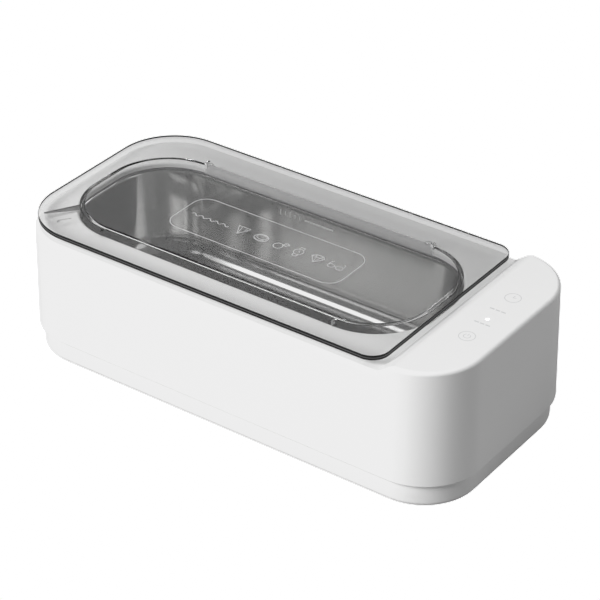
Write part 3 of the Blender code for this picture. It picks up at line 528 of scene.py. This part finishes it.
# ------------------------------------------------------------------ upper housing
def rise_profile(steps=16):
    """(x, z) points up the slope: foot radius, straight, top radius."""
    slope = math.radians(RISE_ANGLE)
    height = Z_CREST - Z_DECK
    rounded = (R_RISE_FOOT + R_RISE_TOP) * (1 - math.cos(slope))
    straight = (height - rounded) / math.sin(slope)
    angles = [slope * i / steps for i in range(steps + 1)]
    points = [(RISE_X + R_RISE_FOOT * math.sin(angle),
               Z_DECK + R_RISE_FOOT * (1 - math.cos(angle))) for angle in angles]
    x, z = points[-1]
    x += straight * math.cos(slope) + R_RISE_TOP * math.sin(slope)
    z += straight * math.sin(slope) - R_RISE_TOP * math.cos(slope)
    for i in range(steps + 1):
        angle = slope * (1 - i / steps)
        points.append((x - R_RISE_TOP * math.sin(angle), z + R_RISE_TOP * math.cos(angle)))
    return points


def top_edge(edge, lower, higher):
    mid = (edge.verts[0].co + edge.verts[1].co) / 2 / MM
    return abs(lower) < 0.1 and higher > 0.3 and mid.z > Z_DECK - 1


def mouth_edge(edge, lower, higher):
    ends = [v.co / MM for v in edge.verts]
    return abs(lower) < 0.1 and higher > 0.9 and all(
        abs(end.z - Z_DECK) < 0.05 and OPEN_X0 - 0.1 < end.x < OPEN_X1 + 0.1
        and abs(end.y) < OPEN_HALF + 0.1 for end in ends)


def housing_hollow():
    hollow = finish_mesh("hollow", loft([shell_loop(WALL, Z_SEAM - 5),
                                         shell_loop(WALL, Z_PANEL_UNDER)]))
    cut(hollow, [prism([(CUT_X, Z_DECK_UNDER), (UNDER_RISE_X0, Z_DECK_UNDER),
                        (UNDER_RISE_X1, Z_PANEL_UNDER), (UNDER_RISE_X1, CUT_Z),
                        (CUT_X, CUT_Z)], -CUT_Y, CUT_Y)])
    bm = bmesh.new()
    bm.from_mesh(hollow.data)
    bmesh.ops.scale(bm, vec=(1 / MM,) * 3, verts=bm.verts)
    bpy.data.objects.remove(hollow, do_unlink=True)
    return bm


def build_housing():
    loops = [shell_loop(inset, z) for inset, z in bottom_round(R_SEAM_EDGE, Z_SEAM, steps=4)]
    loops.append(shell_loop(0.0, Z_CREST))
    housing = finish_mesh("white_housing", loft(loops), "white_abs_satin")
    rise = rise_profile()
    cut(housing, [prism([(CUT_X, Z_DECK)] + rise + [(rise[-1][0], CUT_Z), (CUT_X, CUT_Z)],
                        -CUT_Y, CUT_Y)])
    round_edges(housing, top_edge, R_TOP_EDGE, segments=8)
    cut(housing, [housing_hollow()])
    cut(housing, [loft([opening_loop(-LIP, Z_LIP), opening_loop(-LIP, Z_DECK - 0.8)])], "UNION")
    cut(housing, [loft([opening_loop(0.0, Z_LIP - 2), opening_loop(0.0, Z_DECK + 10)]),
                  cylinder(PANEL_X, LED_Y, 55.0, 70.0, R_LED),
                  cylinder_along_y(JACK_X, JACK_Z, 40.0, 60.0, R_JACK, sides=48)])
    round_edges(housing, mouth_edge, R_MOUTH_EDGE, segments=6)
    tidy(housing)
    weight_normals(housing)
    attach(housing, "bath_unit")
    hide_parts("upper_housing")


# ------------------------------------------------------------------ bottom cover
R_BOSS, Z_BOSS, Z_BOSS_TOP = 4.0, 3.0, 19.7
R_SCREW_HEAD, Z_SCREW_HEAD = 3.3, 6.9
R_SCREW, Z_SCREW, Z_SCREW_TOP = 1.8, 6.0, 21.0
R_FOOT, Z_FOOT = 6.3, 2.1


def build_base():
    profile = bottom_round(R_BASE_EDGE, Z_BASE, steps=8) + [
        (0.0, Z_BASE_TOP - 0.25), (0.07, Z_BASE_TOP - 0.07), (0.25, Z_BASE_TOP),
        (0.65, Z_BASE_TOP), (0.65, Z_BASE_LIP - 0.4),
        (1.05, Z_BASE_LIP), (2.25, Z_BASE_LIP), (2.25, Z_BASE_FLOOR)]
    base = finish_mesh("white_base", loft([base_loop(inset, z) for inset, z in profile]),
                       "white_abs_base")
    cut(base, [cylinder(x, y, Z_BOSS, Z_BOSS_TOP, R_BOSS, 32) for x, y in CASE_SCREWS], "UNION")
    below = Z_BASE - 1
    holes = []
    for x, y in CASE_SCREWS:
        holes.append(cylinder(x, y, below, Z_SCREW_HEAD, R_SCREW_HEAD))
        holes.append(cylinder(x, y, Z_SCREW, Z_SCREW_TOP, R_SCREW, 24))
    for x, y in FEET:
        holes.append(cylinder(x, y, below, Z_FOOT, R_FOOT, 64))
    cut(base, holes)
    tidy(base)
    weight_normals(base)
    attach(base, "bath_unit")
    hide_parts("bottom_cover")


# ------------------------------------------------------------------ tank
def sheet_profile(offset):
    """(inset, z) stations from the flange's edge down to the floor, offset below the inner face."""
    points = [(-FLANGE_WIDTH, Z_FLANGE - offset), (-R_FLANGE_BEND, Z_FLANGE - offset)]
    bend_painted_shade = R_FLANGE_BEND - offset
    for sine, cosine in quarter(8)[1:]:
        points.append((-R_FLANGE_BEND + bend_painted_shade * sine, Z_FLANGE - R_FLANGE_BEND + bend_painted_shade * cosine))
    radius = R_TANK_FLOOR + offset
    for sine, cosine in quarter(18):
        points.append((TANK_DRAFT + R_TANK_FLOOR - radius * cosine,
                       Z_TANK_FLOOR + R_TANK_FLOOR - radius * sine))
    return points


def build_tank():
    profile = list(reversed(sheet_profile(SHEET))) + sheet_profile(0.0)
    outline = opening_loop(0.0, 0.0)
    around = [0.0]
    for here, there in zip(outline, outline[1:] + outline[:1]):
        around.append(around[-1] + (Vector(there) - Vector(here)).length * MM)
    along = [0.0]
    for here, there in zip(profile, profile[1:]):
        along.append(along[-1] + math.dist(here, there) * MM)
    loops = [opening_loop(inset, z) for inset, z in profile]
    tank = finish_mesh("stainless_tank", loft(loops, uv=(around, along)), "drawn_stainless",
                       angle=50.0)
    weight_normals(tank)
    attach(tank, "bath_unit")
    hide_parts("tank")


# ------------------------------------------------------------------ lid
LID_MATERIALS = ("smoked_lid_face", "smoked_lid_rim_painted_shade", "smoked_lid_ring",
                 "smoked_lid_parting_line", "smoked_lid_rib", "lid_tab_painted_highlight",
                 "smoked_lid_root_painted_light")
FACE, RIM, RING, LINE, RIB, TAB_HIGHLIGHT, ROOT_PAINTED_LIGHT = range(len(LID_MATERIALS))
R_LID_UNDER, R_LID_EDGE = 0.2, 0.3


def lid_plate():
    profile = bottom_round(R_LID_UNDER, Z_LID, steps=4)
    profile += [(0.0, Z_PARTING - 0.22), (0.06, Z_PARTING - 0.18),
                (0.06, Z_PARTING + 0.18), (0.0, Z_PARTING + 0.22)]
    profile += [(R_LID_EDGE * (1 - cosine), Z_LID_TOP - R_LID_EDGE * (1 - sine))
                for sine, cosine in quarter(5)]
    return loft([lid_loop(inset, z) for inset, z in profile])


def lid_ring():
    """Ring hanging into the opening, flared where it meets the plate."""
    outer, inner = RING_GAP, RING_GAP + RING_WALL
    profile = [(outer - R_FLARE, Z_LID + 1.0)]
    profile += [(outer - R_FLARE * (1 - sine), Z_LID - R_FLARE * (1 - cosine))
                for sine, cosine in quarter(6)]
    profile += [(outer, Z_RING + 0.3), (outer + 0.09, Z_RING + 0.09), (outer + 0.3, Z_RING),
                (inner - 0.3, Z_RING), (inner - 0.09, Z_RING + 0.09), (inner, Z_RING + 0.3),
                (inner, Z_LID + 1.0)]
    return loft([opening_loop(inset, z) for inset, z in profile], closed=True)


def lid_ribs():
    """Four short upright ribs outside the ring's long sides."""
    ring_y = OPEN_HALF - RING_GAP
    ribs = []
    for x in (RIB_LEFT_X, RIB_RIGHT_X):
        for side in (-1, 1):
            y0, y1 = sorted((side * (ring_y - 0.8), side * (ring_y + 2.6)))
            ribs.append(box(x - RIB_HALF, x + RIB_HALF, y0, y1, Z_DECK + 0.3, Z_LID + 1.0,
                            bevel=0.15))
    return ribs


def lid_wedge():
    """Tapered rib running out to the front left corner."""
    wedge = prism([(-1.5, Z_LID + 0.6), (14.2, Z_LID + 0.6),
                   (14.2, Z_LID - 0.3), (-1.5, Z_LID - 2.2)], -0.35, 0.35)
    bmesh.ops.rotate(wedge, matrix=Matrix.Rotation(math.radians(240.0), 3, "Z"),
                     verts=wedge.verts)
    bmesh.ops.translate(wedge, vec=(-87.1, -24.6, 0), verts=wedge.verts)
    return wedge


def lid_slot(centre, normal):
    """Material slot of a lid face, from its place and direction."""
    x, y, z = centre
    # painted shade: the plate's side faces take the near-black rim colour
    if z > Z_LID + 0.02 and abs(normal.z) < 0.95:
        return LINE if abs(z - Z_PARTING) < 0.19 else RIM
    if z >= Z_LID - 0.05:
        return FACE
    if x < -86.3 and y < -25.0:                # the wedge
        return RIB
    # painted shade: the x faces of the front left rib are near black
    if abs(normal.x) > 0.9 and abs(x - RIB_LEFT_X) < 0.8 and y < 0:
        return RIM
    # painted highlight on the left face of the front right rib
    if normal.x < -0.9 and abs(x - (RIB_RIGHT_X - RIB_HALF)) < 0.3 and y < 0:
        return TAB_HIGHLIGHT
    # painted light on the outer face of the ring's back side
    if (normal.y > 0.9 and RIB_LEFT_X < x < RIB_RIGHT_X and y > 31.0
            and Z_RING + 0.4 < z < Z_LID - 0.3):
        return ROOT_PAINTED_LIGHT                            # outer face of the ring's back side
    return RING


def build_lid():
    lid = finish_mesh("smoked_lid", lid_plate(), *LID_MATERIALS)
    cut(lid, [lid_ring(), *lid_ribs(), lid_wedge()], "UNION")
    tidy(lid)
    for face in lid.data.polygons:
        face.material_index = lid_slot(face.center / MM, face.normal)
    weight_normals(lid, weight=50)
    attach(lid, "lid_body")
    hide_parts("lid")


# ------------------------------------------------------------------ marks (thin closed strips)
def arc(x, y, rx, ry, start, end, steps):
    angles = [math.radians(start + (end - start) * i / steps) for i in range(steps + 1)]
    return [(x + rx * math.cos(angle), y + ry * math.sin(angle)) for angle in angles]


def ellipse(x, y, rx, ry, steps=36):
    return arc(x, y, rx, ry, 0, 360, steps)[:-1]


def placed(strokes, x, y):
    return [([(x + dx, y + dy) for dx, dy in points], width, closed)
            for points, width, closed in strokes]


def strip(bm, points, width, closed, z0, z1):
    """Flat line of ink through (x, y) points, with mitred corners."""
    path = [Vector(point[:2]) for point in points]
    headings = [(path[(i + 1) % len(path)] - here).normalized() for i, here in enumerate(path)]
    if not closed:
        headings[-1] = headings[-2]
    loops = []
    for i, here in enumerate(path):
        before = headings[i - 1] if i or closed else headings[0]
        both = before + headings[i]
        normal = Vector((-both.y, both.x)).normalized()
        square = abs(normal.dot(Vector((-before.y, before.x))))
        offset = normal * width / 2 * min(2.0, 1.0 / max(0.3, square))
        left, right = here + offset, here - offset
        loops.append([(left.x, left.y, z0), (right.x, right.y, z0),
                      (right.x, right.y, z1), (left.x, left.y, z1)])
    loft(loops, closed=closed, bm=bm)


def marks(name, strokes, z0, z1, material_name, body, slot):
    bm = bmesh.new()
    for points, width, closed in strokes:
        strip(bm, points, width, closed, z0, z1)
    ob = finish_mesh(name, bm, material_name, angle=20.0)
    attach(ob, body)


# Strokes are (points, line width, closed)
INK, FINE_INK = 0.27, 0.27 * 0.8
Z_LID_INK = (Z_LID_TOP + 0.005, Z_LID_TOP + 0.025)
ICON_Y = -3.2
# Middle x of each icon on the lid, and its strokes round its middle
LID_ICONS = (
    (-21.9, [  # pendant on a chain
        ([(-2.9, 2.6), (0, -2.9), (2.9, 2.6)], INK, False),
        ([(-2.9, 2.6), (2.9, 2.6)], INK, False),
        ([(-1.2, 2.6), (0, -2.4)], FINE_INK, False),
        (ellipse(1.7, 1.0, 0.6, 0.6, 16), FINE_INK, True)]),
    (-12.2, [  # bangle
        (ellipse(0, 0, 3.1, 2.4), INK, True),
        (ellipse(0, 0.5, 2.3, 1.5), FINE_INK, True),
        ([(-2.2, -1.3), (-1.0, -1.9), (0.6, -1.9), (2.1, -1.3)], FINE_INK, False)]),
    (-2.8, [  # ring with a stone
        (ellipse(-0.7, -0.9, 1.9, 1.9), INK, True),
        ([(0.7, 0.6), (2.0, 0.4), (3.0, 1.6), (1.9, 2.4), (0.9, 1.7)], INK, True)]),
    (5.7, [  # watch
        (ellipse(0, 0, 2.0, 2.0), INK, True),
        ([(-1.1, 1.8), (-0.9, 3.3), (0.9, 3.3), (1.1, 1.8)], INK, False),
        ([(-1.1, -1.8), (-0.9, -3.3), (0.9, -3.3), (1.1, -1.8)], INK, False),
        ([(0, 1.1), (0, 0), (0.8, -0.5)], FINE_INK, False)]),
    (14.3, [  # cut stone
        ([(-2.9, 0.9), (-1.6, 2.5), (1.6, 2.5), (2.9, 0.9), (0, -2.8)], INK, True),
        ([(-2.9, 0.9), (2.9, 0.9)], FINE_INK, False),
        ([(-1.6, 2.5), (-0.9, 0.9), (0, -2.6), (0.9, 0.9), (1.6, 2.5)], FINE_INK, False)]),
    (23.4, [  # spectacles
        (ellipse(-1.9, -0.9, 1.5, 1.2, 24), INK, True),
        (ellipse(1.9, -0.9, 1.5, 1.2, 24), INK, True),
        ([(-0.5, -0.6), (0, -0.3), (0.5, -0.6)], INK, False),
        ([(-3.4, -0.8), (-3.1, 1.9), (-2.3, 2.4)], INK, False),
        ([(3.4, -0.8), (3.1, 1.9), (2.3, 2.4)], INK, False)]),
)
WAVE_X, WAVE_Y, WAVE_HEIGHT, WAVE_LENGTH, WAVE_STEP = -45.6, -3.9, 0.7, 3.6, 0.3


def lid_print():
    """Rounded frame with a wavy line and a row of icons."""
    border = rounded_rect(-50.5, 31.0, 12.7, 6.4, 6.4, 0, steps=14, y_mid=-3.4)
    wave = [(WAVE_X + WAVE_STEP * i,
             WAVE_Y + WAVE_HEIGHT * math.sin(i * WAVE_STEP * 2 * math.pi / WAVE_LENGTH))
            for i in range(61)]
    strokes = [(border, 0.30, True), (wave, INK, False)]
    for x, icon in LID_ICONS:
        strokes += placed(icon, x, ICON_Y)
    marks("lid_print", strokes, *Z_LID_INK, "ink_light_grey", "lid_body", "smoked_lid")


def lid_small_marks():
    # a dark hooked stroke with a small ring
    hook_strokes = [([(-85.1, -39.6), (-85.9, -38.3), (-84.4, -36.0), (-82.8, -33.9)], 0.30, False),
            (ellipse(-85.4, -38.8, 0.45, 0.45, 12), 0.2, True)]
    # on the underside, at the front left corner
    marks("lid_hooked_marks", hook_strokes, Z_LID - 0.09, Z_LID - 0.01, "smoked_lid_rib", "lid_body",
          "smoked_lid")
    curl = [(arc(0, 0, 1.35, 1.35, 20, 300, 20), 0.26, False),
            (arc(0.5, 0.2, 0.6, 0.6, 160, 420, 12), 0.22, False),
            ([(1.7, 0.4), (2.9, -0.2)], 0.26, False)]
    # on the top face, along the back
    ejector = placed(curl, -63.9, 31.1) + placed(curl, 42.7, 31.4)
    marks("lid_ejector_marks", ejector, *Z_LID_INK, "smoked_lid_mark", "lid_body", "smoked_lid")


TICK_X, TICK_PITCH, TICK_WIDTH, TICK_Z = -29.6, 2.4, 0.45, 48.9


def wall_bar(bm, x0, x1, z0, z1):
    """Adds a small bar lying on the tank's drafted back wall."""
    z_wall_top = Z_FLANGE - R_FLANGE_BEND
    inset = (TANK_DRAFT * (z_wall_top - (z0 + z1) / 2)
             / (z_wall_top - Z_TANK_FLOOR - R_TANK_FLOOR))
    y = OPEN_HALF - inset
    bar = box(x0, x1, y - 0.12, y + 0.3, z0, z1, bevel=0.05, segments=1)
    mesh = bpy.data.meshes.new("bar")
    bar.to_mesh(mesh)
    bar.free()
    bm.from_mesh(mesh)
    bpy.data.meshes.remove(mesh)


def fill_mark():
    """Fill line and five ticks, long and short in turn."""
    bm = bmesh.new()
    wall_bar(bm, -17.5, -3.4, 48.55, 49.2)
    for k in range(5):
        height = 2.6 if k % 2 == 0 else 1.7
        x = TICK_X + TICK_PITCH * k
        wall_bar(bm, x, x + TICK_WIDTH, TICK_Z - height / 2, TICK_Z + height / 2)
    fill = finish_mesh("fill_mark", bm, "etched_mark", angle=20.0)
    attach(fill, "bath_unit")


Z_PANEL_INK = (61.33, 61.35)
KEY_CIRCLE = (ellipse(0, 0, 3.1, 3.1, 48), 0.3, True)
POWER_KEY = [KEY_CIRCLE, (arc(0, 0, 1.35, 1.35, 125, 415, 26), 0.28, False),
             ([(0, 0.35), (0, 1.7)], 0.28, False)]
TIMER_KEY = [KEY_CIRCLE, ([(0, 1.7), (0, 0), (1.2, 0.5)], 0.28, False)]
DASHES = [([(x0, 0), (x1, 0)], 0.7, False)
          for x0, x1 in ((-3.4, -1.4), (-0.9, 0.9), (1.4, 3.4))]


def panel_print():
    strokes = []
    for symbol, y in ((POWER_KEY, -15.2), (TIMER_KEY, 16.7), (DASHES, -4.9), (DASHES, 6.0)):
        strokes += placed(symbol, PANEL_X, y)
    marks("panel_print", strokes, *Z_PANEL_INK, "ink_panel_grey", "bath_unit", "white_housing")


# ------------------------------------------------------------------ finishes of the CAD pieces
CAD_FINISHES = {
    "tank_gasket": "silicone_mat", "tank_clamp_frame": "grey_abs_mat",
    "piezo_disc": "piezo_mat", "transducer_bond": "epoxy_mat",
    "piezo_lead_live": "red_wire_mat", "piezo_lead_return": "black_moulding_mat",
    "inlet_lead_positive": "red_wire_mat", "inlet_lead_negative": "black_moulding_mat",
    "driver_board": "circuit_board_mat", "touch_board": "circuit_board_mat",
    "transformer_core": "ferrite_mat", "tuning_inductor": "ferrite_mat",
    "transformer_winding": "winding_mat", "bulk_capacitor": "capacitor_sleeve_mat",
    "film_capacitor": "capacitor_box_mat", "power_transistor": "black_moulding_mat",
    "heatsink": "heatsink_mat", "piezo_connector": "nylon_mat",
    "power_connector": "nylon_mat", "touch_connector": "nylon_mat",
    "touch_spring_power": "spring_mat", "touch_spring_timer": "spring_mat",
    "touch_chip": "black_moulding_mat", "indicator_led": "led_mat",
    "light_pipe": "light_pipe_mat", "touch_cable": "flat_cable_mat",
    "power_inlet": "black_moulding_mat",
}


def cad_finish(name):
    if name in CAD_FINISHES:
        return CAD_FINISHES[name]
    if name.startswith("foot_"):
        return "foot_rubber_mat"
    return "zinc_screw" if "screw" in name else "white_abs_satin"


def finish_cad_pieces():
    for name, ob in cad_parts.items():
        ob.data.materials.clear()
        ob.data.materials.append(materials[cad_finish(name)])
        for face in ob.data.polygons:
            face.material_index = 0
        smooth(ob, angle=32)


# ------------------------------------------------------------------ floor and sky
AMBIENT = 0.06             # sky strength for diffuse light
SEEN = 1.27                # paper white seen directly
SEEN_THROUGH = 0.86        # the same seen through the lid
DEEP_THROUGH = 0.2         # the same for rays that come out of the tank
GLOSS_BASE = 0.16          # sky strength in reflections, away from the patches
FLOOR_ALBEDO = 0.36
FLOOR_HALF = 4000.0        # mm

# Patches of sky seen in reflections: direction, outer and inner angle (degrees), gain
OVERHEAD_PATCH = ((-0.495, -0.2801, 0.8229), 14.0, 5.0, 2.1)
TANK_PATCHES = (
    ((-0.495, 0.684, 0.536), 32.0, 10.0, 1.10),
    ((0.3068, 0.7595, 0.5736), 14.0, 3.0, 2.0),
    ((0.886, 0.0931, 0.454), 19.0, 2.0, 0.85),
)


def build_floor():
    """Matt for lighting, an even glow when seen directly or through the lid."""
    m = Material("pale_floor")
    m.set(Base_Color=m.clouds(m.noise(m.coordinates(), scale=3.0),
                              grey(FLOOR_ALBEDO - 0.01), grey(FLOOR_ALBEDO + 0.01)),
          Roughness=0.9, Specular_IOR_Level=0.0)
    rays = m.rays()
    camera_ray, through_ray = rays["Is Camera Ray"], rays["Is Transmission Ray"]
    glow = m.math("ADD", m.math("MULTIPLY", camera_ray, SEEN),
                  m.math("MULTIPLY", through_ray, SEEN_THROUGH))
    paper = m.node("Emission", {"Strength": glow})
    m.surface(m.mix_shaders(m.math("MAXIMUM", camera_ray, through_ray), m.bsdf, paper))
    m.material.cycles.emission_sampling = "NONE"
    bm = bmesh.new()
    bmesh.ops.create_grid(bm, x_segments=4, y_segments=4, size=FLOOR_HALF)
    finish_mesh("studio_floor", bm, "pale_floor")


def build_world():
    world = bpy.data.worlds.new("studio")
    world.use_nodes = True
    world.cycles.sampling_method = "NONE"
    scene.world = world
    sky = Graph(world.node_tree)
    rays = sky.rays()
    view = sky.node("TexCoord").outputs["Generated"]

    def patch(direction, outer, inner, gain):
        return sky.ramp(sky.dot(view, Vector(direction).normalized()), 0.0, gain,
                        start=math.cos(math.radians(outer)), end=math.cos(math.radians(inner)),
                        curve="SMOOTHSTEP")

    deep = sky.math("GREATER_THAN", rays["Ray Depth"], 2.5)   # rays that come out of the tank
    overhead = patch(*OVERHEAD_PATCH)
    tank_light = patch(*TANK_PATCHES[0])
    for row in TANK_PATCHES[1:]:
        tank_light = sky.math("ADD", tank_light, patch(*row))
    tank_light = sky.math("MULTIPLY", deep, tank_light)
    base = sky.node("Value").outputs[0]
    base.default_value = GLOSS_BASE
    gloss = sky.math("ADD", base, sky.math("ADD", overhead, tank_light))
    through = sky.math("SUBTRACT", SEEN_THROUGH,
                       sky.math("MULTIPLY", deep, SEEN_THROUGH - DEEP_THROUGH))
    camera_ray, through_ray, glossy_ray = (
        rays[f"Is {kind} Ray"] for kind in ("Camera", "Transmission", "Glossy"))
    special = sky.math("MAXIMUM", sky.math("MAXIMUM", camera_ray, through_ray), glossy_ray)
    strength = sky.math("MULTIPLY", sky.math("SUBTRACT", 1.0, special), AMBIENT)
    for ray, level in ((camera_ray, SEEN), (through_ray, through), (glossy_ray, gloss)):
        strength = sky.math("ADD", strength, sky.math("MULTIPLY", ray, level))
    background = world.node_tree.nodes["Background"]
    sky.feed(background.inputs["Color"], grey(1.0))
    sky.feed(background.inputs["Strength"], strength)


# ------------------------------------------------------------------ lights and camera
LIGHT_TARGET = Vector((0, 0, 0.03))                     # m
CAMERA_TARGET = Vector((3.204, 1.131, 36.193)) * MM
CAMERA_AZIMUTH, CAMERA_ELEVATION = 35.868, 32.394       # degrees
CAMERA_DISTANCE = 936.306                               # mm
CAMERA_LENS, SENSOR_WIDTH = 143.25918, 36.0             # mm
# Tone curve, scene level to output: whites level off just under paper white
SHOULDER = ((0.80, 0.80), (0.88, 0.843), (0.95, 0.853), (1.15, 0.857), (1.25, 1.0))
WHITE_LEVEL = 2.0


def bearing(azimuth, elevation):
    """Unit vector, azimuth in degrees from the front (-Y) towards the right (+X)."""
    turn, lift = math.radians(azimuth), math.radians(elevation)
    return Vector((math.sin(turn) * math.cos(lift), -math.cos(turn) * math.cos(lift),
                   math.sin(lift)))


def aim(ob, direction):
    ob.rotation_euler = direction.to_track_quat("-Z", "Y").to_euler()


def soft_box(name, azimuth, elevation, distance, size, level):
    """Square light; level is the radiance a white matt card facing it would show."""
    light = bpy.data.lights.new(name, "AREA")
    light.energy = level * math.pi ** 2 * distance ** 2
    light.shape = "RECTANGLE"
    light.size = size
    light.size_y = size
    ob = bpy.data.objects.new(name, light)
    ob.location = place = bearing(azimuth, elevation) * distance + LIGHT_TARGET
    aim(ob, LIGHT_TARGET - place)
    ob.visible_glossy = False
    scene.collection.objects.link(ob)


def build_camera():
    lens = bpy.data.cameras.new("camera")
    lens.sensor_fit = "HORIZONTAL"
    lens.sensor_width = SENSOR_WIDTH
    lens.lens = CAMERA_LENS
    lens.clip_start = 0.01
    lens.clip_end = 20.0
    camera = bpy.data.objects.new("camera", lens)
    back = bearing(CAMERA_AZIMUTH, CAMERA_ELEVATION)
    camera.location = CAMERA_TARGET + back * CAMERA_DISTANCE * MM
    aim(camera, -back)
    scene.collection.objects.link(camera)
    scene.camera = camera


def set_response():
    view = scene.view_settings
    view.view_transform = "Standard"
    view.look = "None"
    view.use_curve_mapping = True
    response = view.curve_mapping
    response.white_level = (WHITE_LEVEL,) * 3
    curve = response.curves[3]
    for level, output in SHOULDER:
        curve.points.new(level / WHITE_LEVEL, output)
    for point in curve.points:
        point.handle_type = "VECTOR"
    response.update()


# ------------------------------------------------------------------ build
build_materials()
build_housing()
build_base()
build_tank()
build_lid()
lid_print()
lid_small_marks()
fill_mark()
panel_print()
finish_cad_pieces()
build_floor()
build_world()
soft_box("key", azimuth=-21.0, elevation=33.0, distance=2.5, size=1.2, level=1.163)
soft_box("top", azimuth=170.0, elevation=82.0, distance=2.2, size=1.6, level=0.30)
soft_box("rim", azimuth=140.0, elevation=20.0, distance=2.2, size=0.8, level=0.25)
build_camera()
set_response()

bpy.context.view_layer.update()
